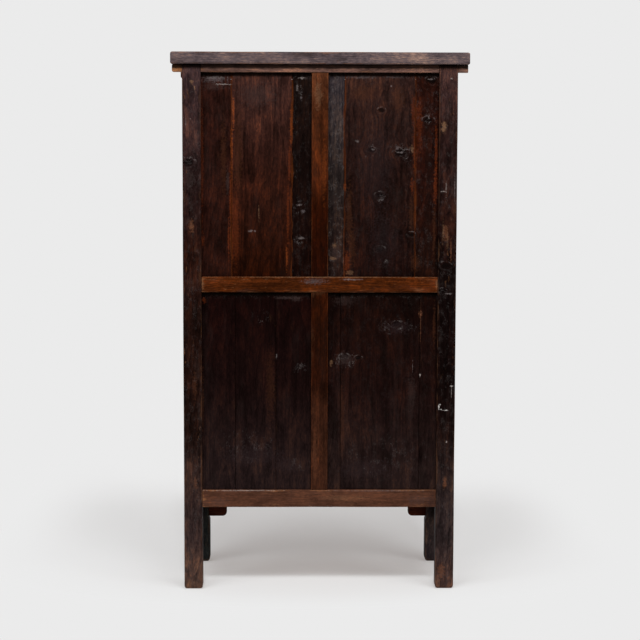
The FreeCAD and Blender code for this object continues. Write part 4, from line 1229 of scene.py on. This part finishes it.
class CABINET_OT_back(PieceOperator, bpy.types.Operator):
    """Boards of the four back panels"""

    bl_idname = "cabinet.back"
    bl_label = "Back panels"

    # boards from the lowest X to the highest: tones at the foot, middle and head, and lifting varnish with
    # its painted glints
    boards = {
        "upper_right": (
            ((14, 4, 3), (15, 7, 6), (16, 9, 8), 0.1),
            ((29, 8, 2), (42, 19, 13), (55, 33, 29), 0.0),
            ((30, 12, 8), (35, 15, 11), (39, 18, 14), 0.03),
        ),
        "upper_left": (
            ((18, 7, 5), (24, 8, 6), (30, 11, 7), 0.15),
            ((19, 7, 6), (31, 16, 13), (41, 25, 22), 0.06),
            ((23, 11, 9), (32, 26, 25), (42, 37, 41), 0.35),
        ),
        "lower_right": (((29, 20, 20), (17, 7, 7), (13, 3, 3), 0.0),) * 3,
        "lower_left": (((31, 21, 20), (21, 9, 8), (13, 4, 3), 0.04),) * 3,
    }
    # strength of the grain, and width of the thinned varnish along the boards' edges
    contrasts = {"upper_right": 0.9, "upper_left": 0.9, "lower_right": 0.75, "lower_left": 0.75}
    rims = {"upper_right": 0.007, "upper_left": 0.006, "lower_right": 0.0, "lower_left": 0.0}
    knots = {
        "upper_left": (
            (-206, 1638, 10), (-174, 1505, 11), (-270, 1496, 16), (-364, 1605, 14), (-373, 1738, 15),
            (-203, 1354, 12), (-204, 1170, 12), (-310, 1220, 10),
        ),
        "lower_left": ((-262, 915, 12), (-85, 803, 12), (-132, 800, 9)),
    }
    # the pale rows at the boards' heads and round knots, the sheen rows and the lifting rows paint sheen
    # and glints on the varnish
    marks = {
        "upper_right": {
            "umber": ((162, 1369, 51, 288, 0.3), (385, 1500, 6, 160, 0.4), (350, 1330, 24, 220, 0.35)),
            "brown": ((277, 1504, 20, 186), (325, 1480, 13, 170, 0.45)),
            "film": ((356, 1718, 47, 20), (208, 1688, 81, 54, 0.4), (311, 1396, 7.5, 54, 0.5)),
            "haze": ((353, 1741, 54, 15), (64, 1678, 5, 10), (57, 1298, 8, 7)),
            "rust": (
                (398, 1480, 7.5, 280, 0.4), (397, 1200, 8, 30, 0.55), (301, 1336, 6, 115, 0.7),
                (308, 1200, 4.5, 88, 0.7), (285, 1234, 15, 163, 0.35), (103, 1470, 6, 88, 0.55),
                (108, 1285, 5.5, 142, 0.55),
            ),
            "orange": (
                (291, 1631, 4.5, 68), (297, 1504, 4.5, 95), (96, 1585, 6, 81, 0.5),
                (112, 1146, 5, 54, 0.45),
            ),
            "bare": ((206, 1295, 1.5, 34),),
            "crease": (
                (234, 1231, 11, 5), (220, 1231, 5, 3.5), (77, 1712, 4, 17, 0.5), (71, 1319, 14, 4),
                (64, 1207, 17, 5), (353, 1746, 41, 7, 0.5),
            ),
            "scratch": ((329, 1723, 34, 3), (60, 1745, 17, 3.5, 0.55)),
            "lifted": (
                (64, 1742, 20, 10, 1.4), (67, 1698, 14, 27), (77, 1578, 10, 20, 0.8), (81, 1427, 10, 17),
                (68, 1309, 20, 27, 1.4), (68, 1200, 20, 20, 1.4),
            ),
        },
        "upper_left": {
            "dusk": ((-186, 1454, 81, 210), (-221, 1200, 68, 122, 0.4)),
            "umber": ((-365, 1504, 14, 176, 0.7), (-367, 1241, 15, 142, 0.65)),
            "brown": (
                (-99, 1285, 14, 142, 0.5), (-109, 1176, 17, 88), (-142, 1698, 51, 37), (-263, 1678, 34, 51),
                (-387, 1234, 7, 122, 0.55), (-309, 1285, 10, 75, 0.5), (-323, 1125, 20, 41),
            ),
            "film": ((-55, 1159, 24, 41),),
            "haze": (
                (-142, 1750, 75, 7, 0.6), (-243, 1749, 47, 6, 0.4), (-260, 1511, 7, 8), (-210, 1339, 7, 4),
            ),
            "rust": (
                (-92, 1125, 14, 51), (-314, 1638, 10, 68, 0.5), (-320, 1504, 10, 95, 0.45),
                (-334, 1588, 14, 102, 0.4), (-392, 1504, 6, 142, 0.7), (-390, 1383, 8, 75, 0.7),
                (-312, 1386, 8, 37, 0.55),
            ),
            "orange": ((-84, 1379, 5.5, 15, 0.5),),
            "bare": (
                (-311, 1507, 8, 17, 0.5), (-51, 1183, 10, 11, 0.5), (-44, 1139, 14, 9, 0.5),
                (-102, 1091, 20, 10, 0.4),
            ),
            "crease": (
                (-125, 1534, 9, 7, 0.45), (-274, 1497, 20, 3.5), (-294, 1507, 10, 3.5, 0.5),
                (-179, 1507, 8, 3.5, 0.45), (-371, 1742, 10, 3.5), (-366, 1615, 4, 8),
                (-239, 1718, 3.5, 5.5),
            ),
            "lifted": (
                (-271, 1497, 51, 34, 1.1), (-173, 1504, 30, 27), (-204, 1336, 20, 27, 0.8),
                (-371, 1735, 24, 14, 1.2), (-365, 1605, 17, 20, 1.2), (-225, 1132, 30, 14),
            ),
        },
        "lower_right": {
            "dusk": ((223, 462, 122, 41, 0.5), (103, 427, 61, 30, 0.5)),
            "brown": ((167, 704, 20, 142, 0.3), (400, 653, 7, 156, 0.5)),
            "film": ((109, 1006, 47, 8, 0.6), (78, 1002, 24, 14)),
            "rust": ((393, 996, 9, 14, 0.55),),
            "crease": ((147, 804, 3.5, 9, 0.5),),
            "lifted": (
                (201, 941, 34, 27, 0.7), (68, 1044, 30, 10), (68, 770, 27, 24, 0.8),
                (240, 493, 115, 75, 0.3), (75, 434, 47, 27, 0.4),
            ),
        },
        "lower_left": {
            "dusk": ((-263, 903, 61, 30, 0.55), (-155, 416, 115, 47, 0.5)),
            "brown": ((-390, 910, 6, 95, 0.5), (-79, 600, 10, 149, 0.35)),
            "film": ((-86, 793, 37, 30), (-316, 683, 20, 68, 0.25), (-85, 996, 47, 27, 0.3)),
            "rubbed": ((-344, 920, 2, 81, 0.45), (-343, 949, 7.5, 15, 0.7)),
            "bare": ((-41, 783, 7, 15, 0.5),),
            "crease": ((-318, 769, 1.5, 24, 0.5),),
            "scratch": ((-343, 741, 3.5, 7, 0.8),),
            "lifted": ((-263, 910, 61, 34, 0.9), (-86, 793, 41, 34, 1.1), (-224, 461, 149, 75, 0.3)),
        },
    }
    seed, arris, grime_reach = 81, 0.0009, 0.015
    # how far the boards' faces stand back from each other, in turn
    face_steps = (0.0, 0.0007, 0.0003)
    # the thinned head of a board: its depth, its reach, the reach's share at the corners, its cuts
    thin_depth, thin_reach, corner_share, thin_cuts = 0.006, 0.026, 0.45, 6
    # more cracking of the varnish, with its painted glints, towards a board's head
    head_flake_glint = 0.6

    def execute(self, context):
        seed = self.seed
        for name in self.boards:
            node = f"{name}_back_panel"
            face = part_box(node)[1].y
            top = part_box("rear_top_rail" if name.startswith("upper") else "rear_mid_rail")[0].z
            # each panel gets a painted shadow, with some dirt, under the rail over it
            finish = wood(
                f"{name}_panel_wood", rough=0.36, wear=0.05, contrast=self.contrasts[name], dust=0.05,
                rim=self.rims[name], grime=under(top, self.grime_reach),
                marks=marks_on(face, self.marks[name]), knots=knots_on(face, self.knots.get(name, ())),
            )
            places = board_edges(node, "x")
            for number, edges in enumerate(zip(places, places[1:])):
                board = self.board(name, number, edges, top, seed)
                dressed(board, finish, "frame", "panel_wood", *stands_for(node, number))
                seed += 1
        return {"FINISHED"}

    def board(self, name, number, edges, top, seed):
        """One board, thinned towards the rail over it, where its varnish cracks more and shows painted
        glints.
        """
        low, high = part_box(f"{name}_back_panel")
        first, last = edges
        *tones, lifted = self.boards[name][number]
        step = self.face_steps[(number + seed) % 3]

        def thinned(point):
            """Thins the board towards the rail over it, as an adze leaves it."""
            arch = math.sin(math.pi * min(1.0, max(0.0, (point.x - first) / (last - first))))
            reach = self.thin_reach * (self.corner_share + (1 - self.corner_share) * arch)
            share = max(0.0, 1.0 - (top - point.z) / reach)
            if point.y > (low.y + high.y) / 2:
                point.y -= self.thin_depth * min(1.0, share)

        # cracking of the varnish, with its painted glints, growing towards the board's head
        def flaking_glint(point):
            return lifted + self.head_flake_glint * max(0.0, 1.0 - (top - point.z) / self.thin_reach)

        return timber(
            f"{name}_back_board_{number + 1}",
            (first + self.wood.joint_gap, low.y, low.z),
            (last - self.wood.joint_gap, high.y - step, high.z),
            "z", tones_along(*((k / 2, tone) for k, tone in enumerate(tones))), seed,
            arris=self.arris, shaped=thinned, flake_glint=flaking_glint,
            fine=[high.z - top + self.thin_reach * k / self.thin_cuts for k in range(self.thin_cuts + 1)],
        )


class CABINET_OT_sides(PieceOperator, bpy.types.Operator):
    """Boards of the side panels and the battens behind them"""

    bl_idname = "cabinet.sides"
    bl_label = "Side panels"

    seed, arris, shades = 101, 0.0012, (0.9, 1.15, 1.0)

    def execute(self, context):
        finish = wood("side_wood", rough=0.4, wear=0.3, contrast=0.6, dust=0.08)
        bare = bare_wood("batten_wood", "y", self.wood.inside)
        seed = self.seed
        for side in SIDES:
            node = f"{side}_side_panel"
            low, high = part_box(node)
            places = board_edges(node, "y")
            for number, (first, last) in enumerate(zip(places, places[1:])):
                board = timber(
                    f"{side}_side_board_{number + 1}",
                    (low.x, first + self.wood.joint_gap, low.z),
                    (high.x, last - self.wood.joint_gap, high.z),
                    "z", shade(self.wood.side, self.shades[number]), seed, arris=self.arris,
                )
                dressed(board, finish, "frame", "panel_wood", *stands_for(node, number))
                seed += 1
            keep(f"{side}_side_battens", bare)
        return {"FINISHED"}


class CABINET_OT_inside(PieceOperator, bpy.types.Operator):
    """Shelf, floor boards and the cap's batten"""

    bl_idname = "cabinet.inside"
    bl_label = "Inside"

    bearer_shade, bearer_wear = 0.8, 0.6

    def execute(self, context):
        shelf = bare_wood("shelf_wood", "x", self.wood.inside)
        bearer = bare_wood("bearer_wood", "y", shade(self.wood.inside, self.bearer_shade), self.bearer_wear)
        for node in ("shelf_boards", "floor_boards"):
            keep(node, shelf)
        for node in ("left_shelf_bearer", "right_shelf_bearer", "cap_batten"):
            keep(node, bearer)
        return {"FINISHED"}


class CABINET_OT_aprons(PieceOperator, bpy.types.Operator):
    """Aprons and spandrels between the legs"""

    bl_idname = "cabinet.aprons"
    bl_label = "Aprons"

    darkening, soften = 0.55, 0.0015
    nodes = {
        "x": ("front_apron", "front_left_spandrel", "front_right_spandrel"),
        "y": ("left_apron", "right_apron"),
    }
    names = {"x": "front_apron_wood", "y": "side_apron_wood"}

    def execute(self, context):
        tone = shade(self.wood.door, self.darkening)
        for along, nodes in self.nodes.items():
            finish = wood(self.names[along], tone=tone, along=along, rough=0.45, wear=0.2, dust=0.1)
            for node in nodes:
                keep(node, finish, self.soften)
        return {"FINISHED"}


class CABINET_OT_doors(PieceOperator, bpy.types.Operator):
    """Framed doors with raised panels"""

    bl_idname = "cabinet.doors"
    bl_label = "Doors"

    seeds = {"left": 120, "right": 130}
    stile_shade, rail_shade = 0.95, 1.05
    # rounding of the outer stile: its inner arrises, and its outer ones as a share of half its depth
    stile_arris, stile_round_share = 0.002, 0.99
    stile_end, panel_soften, grime_reach = 0.0008, 0.0012, 0.006

    def execute(self, context):
        finish = wood("door_wood", rough=0.34, wear=0.3, contrast=0.6, dust=0.05, chips=0.15)
        bare = bare_wood("door_batten_wood", "x", self.wood.inside)
        for side in SIDES:
            opening = self.door(side, finish)
            # the door panel gets painted shade, with some dirt, round the edges of its opening
            field = wood(f"{side}_door_panel_wood", tone=self.wood.door, along="z", rough=0.32, wear=0.15,
                         contrast=0.6, dust=0.05, grime=(*opening, self.grime_reach))
            keep(f"{side}_door_panel", field, self.panel_soften)
            keep(f"{side}_door_battens", bare)
        return {"FINISHED"}

    def door(self, side, finish):
        """Frames one door and returns the corners of the opening for its panel."""
        body, seed, right = f"{side}_door", self.seeds[side], side == "right"
        meeting_low, meeting_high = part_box(f"{side}_door_meeting_stile")
        low, high = trimmed(f"{side}_door_hinge_stile", "z", meeting_low.z, meeting_high.z)
        rounded, sharp = (high.y - low.y) / 2 * self.stile_round_share, self.stile_arris
        radii = (sharp, rounded, rounded, sharp) if right else (rounded, sharp, sharp, rounded)
        stile = timber(f"{side}_door_outer_stile", low, high, "z", self.wood.door, seed, radii=radii,
                       end_round=self.stile_end)
        dressed(stile, finish, body, "door_wood", f"{side}_door_hinge_stile")
        meeting = timber(f"{side}_door_inner_stile", meeting_low, meeting_high, "z",
                         shade(self.wood.door, self.stile_shade), seed + 1, end_round=self.stile_end)
        dressed(meeting, finish, body, "door_wood", f"{side}_door_meeting_stile")
        reach = (meeting_high.x, low.x) if right else (high.x, meeting_low.x)
        for number, level in enumerate(("top", "bottom")):
            node = f"{side}_door_{level}_rail"
            bar = timber(f"{side}_door_{level}_bar", *trimmed(node, "x", *reach), "x",
                         shade(self.wood.door, self.rail_shade), seed + 2 + number, end_round=0.0)
            dressed(bar, finish, body, "door_wood", node)
        head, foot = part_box(f"{side}_door_top_rail")[0].z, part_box(f"{side}_door_bottom_rail")[1].z
        return (reach[0], -OUT, foot), (reach[1], OUT, head)


class CABINET_OT_pulls(PieceOperator, bpy.types.Operator):
    """Ring pulls on their split pins"""

    bl_idname = "cabinet.pulls"
    bl_label = "Pulls"

    soften = 0.0004

    def execute(self, context):
        metal = brass()
        for side in SIDES:
            for part in ("rosette", "pin"):
                keep(f"{side}_pull_{part}", metal, self.soften)
            node = f"{side}_pull_ring"
            dressed(hoop(f"{side}_hoop", *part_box(node)), metal, f"{side}_ring", "pull_brass", node)
        return {"FINISHED"}


class CABINET_OT_stage(bpy.types.Operator):
    """Pale floor, soft light and the camera"""

    bl_idname = "cabinet.stage"
    bl_label = "Stage"

    floor_reach, floor_roughness = 60, 0.9
    # the shadow's pool on the floor: its middle, where its front begins, how steep that is, and its rim
    pool_middle, pool_back, pool_front, pool_rim = 0.05, 0.25, 1.6, (0.8, 1.2)
    # soft suns: turn and tilt in degrees, share of the key's strength, and width in degrees
    lamps = {
        "key": (0, 65, 0.2, 20),
        "left": (50, 68, 0.68, 30),
        "right": (-50, 68, 0.68, 30),
        "top": (0, 32, 1.0, 8),
        "left_top": (26, 36, 0.5, 16),
        "right_top": (-26, 36, 0.5, 16),
    }
    sensor = 36

    def execute(self, context):
        stage = context.scene.cabinet_stage
        context.scene.view_settings.view_transform = "Standard"
        self.floor(stage)
        self.sky(context, stage)
        self.suns(stage)
        self.camera(context, stage)
        return {"FINISHED"}

    def floor(self, stage):
        """A floor whose shadows keep a share of light and fade into the backdrop."""
        far = self.floor_reach
        corners = [(-far, -far, 0), (far, -far, 0), (far, far, 0), (-far, far, 0)]
        mesh = bpy.data.meshes.new("floor")
        mesh.from_pydata(corners, [], [(0, 1, 2, 3)])
        material, tree, shader = new_material("pale_floor")
        shader.inputs["Roughness"].default_value = self.floor_roughness
        shader.inputs["Specular IOR Level"].default_value = 0.0
        seen = tree.nodes.new("ShaderNodeLightPath").outputs["Is Camera Ray"]
        away = times(tree, seen, self.away(tree))
        glow = [share * stage.glow for share in stage.glow_tint]
        dim = [level * (1 - share) for level, share in zip(stage.floor, glow)]
        lit = [level * share for level, share in zip(stage.backdrop, glow)]
        near = mix(tree, away, solid(dim), solid((0, 0, 0)))
        feed(tree, shader.inputs["Base Color"], mix(tree, seen, solid(stage.floor), near))
        feed(tree, shader.inputs["Emission Color"], mix(tree, away, solid(lit), solid(stage.backdrop)))
        feed(tree, shader.inputs["Emission Strength"], seen)
        mesh.materials.append(material)
        ground = linked("floor", mesh)

    def away(self, tree):
        """Rises from 0 to 1 where the floor's shadows fade, beside the cabinet and towards the camera."""
        x, y, _ = split(tree, place(tree))
        ahead = math_node(tree, "MAXIMUM", plus(tree, y, self.pool_back), 0.0)
        spot = joined(tree, minus(tree, x, self.pool_middle), times(tree, ahead, self.pool_front))
        return ramp(tree, vector_node(tree, "LENGTH", spot), *self.pool_rim)

    def sky(self, context, stage):
        """White light from all round, which the camera sees as the backdrop."""
        world = context.scene.world or bpy.data.worlds.new("studio")
        context.scene.world = world
        world.use_nodes = True
        tree = world.node_tree
        back = tree.nodes["Background"]
        back.inputs["Color"].default_value = (1, 1, 1, 1)
        strength = tree.nodes.new("ShaderNodeMapRange")
        feed(tree, strength.inputs["Value"], tree.nodes.new("ShaderNodeLightPath").outputs["Is Camera Ray"])
        strength.inputs["To Min"].default_value = stage.sky
        strength.inputs["To Max"].default_value = stage.backdrop[0]
        feed(tree, back.inputs["Strength"], strength.outputs[0])

    def suns(self, stage):
        """Soft suns that light the cabinet's back."""
        for name, (turn, tilt, share, spread) in self.lamps.items():
            sun = bpy.data.lights.new(name, "SUN")
            sun.energy = stage.key * share
            sun.angle = math.radians(spread)
            linked(name, sun).rotation_euler = (math.radians(-tilt), 0, math.radians(turn))

    def camera(self, context, stage):
        """The camera behind the cabinet, turned to the middle of its back."""
        camera = bpy.data.cameras.new("camera")
        camera.lens = stage.lens
        camera.sensor_width = self.sensor
        stand = linked("camera", camera)
        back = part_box("rear_right_post")[1].y
        stand.location = (stage.aside, back + stage.distance, stage.eye_level)
        turn = math.pi - math.atan2(stage.aside, stage.distance)
        stand.rotation_euler = (math.pi / 2 - stage.pitch, -stage.roll, turn)
        context.scene.camera = stand


OPERATORS = (
    CABINET_OT_stage,
    CABINET_OT_cap,
    CABINET_OT_cornice,
    CABINET_OT_posts,
    CABINET_OT_rails,
    CABINET_OT_back,
    CABINET_OT_sides,
    CABINET_OT_inside,
    CABINET_OT_aprons,
    CABINET_OT_doors,
    CABINET_OT_pulls,
)


class CABINET_PT_panel(bpy.types.Panel):
    """Lists the steps that dress the cabinet"""

    bl_idname = "CABINET_PT_panel"
    bl_label = "Cabinet"
    bl_space_type = "VIEW_3D"
    bl_region_type = "UI"
    bl_category = "Cabinet"

    def draw(self, context):
        for group in (context.scene.cabinet_wood, context.scene.cabinet_stage):
            for name in group.__annotations__:
                self.layout.prop(group, name)
        for operator in OPERATORS:
            self.layout.operator(operator.bl_idname)


CLASSES = (WoodSettings, StageSettings, *OPERATORS, CABINET_PT_panel)


def register():
    for made in CLASSES:
        bpy.utils.register_class(made)
    bpy.types.Scene.cabinet_wood = PointerProperty(type=WoodSettings)
    bpy.types.Scene.cabinet_stage = PointerProperty(type=StageSettings)


def unregister():
    del bpy.types.Scene.cabinet_stage
    del bpy.types.Scene.cabinet_wood
    for made in reversed(CLASSES):
        bpy.utils.unregister_class(made)


def main():
    register()
    for operator in OPERATORS:
        family, name = operator.bl_idname.split(".")
        getattr(getattr(bpy.ops, family), name)()


if __name__ == "__main__":
    main()
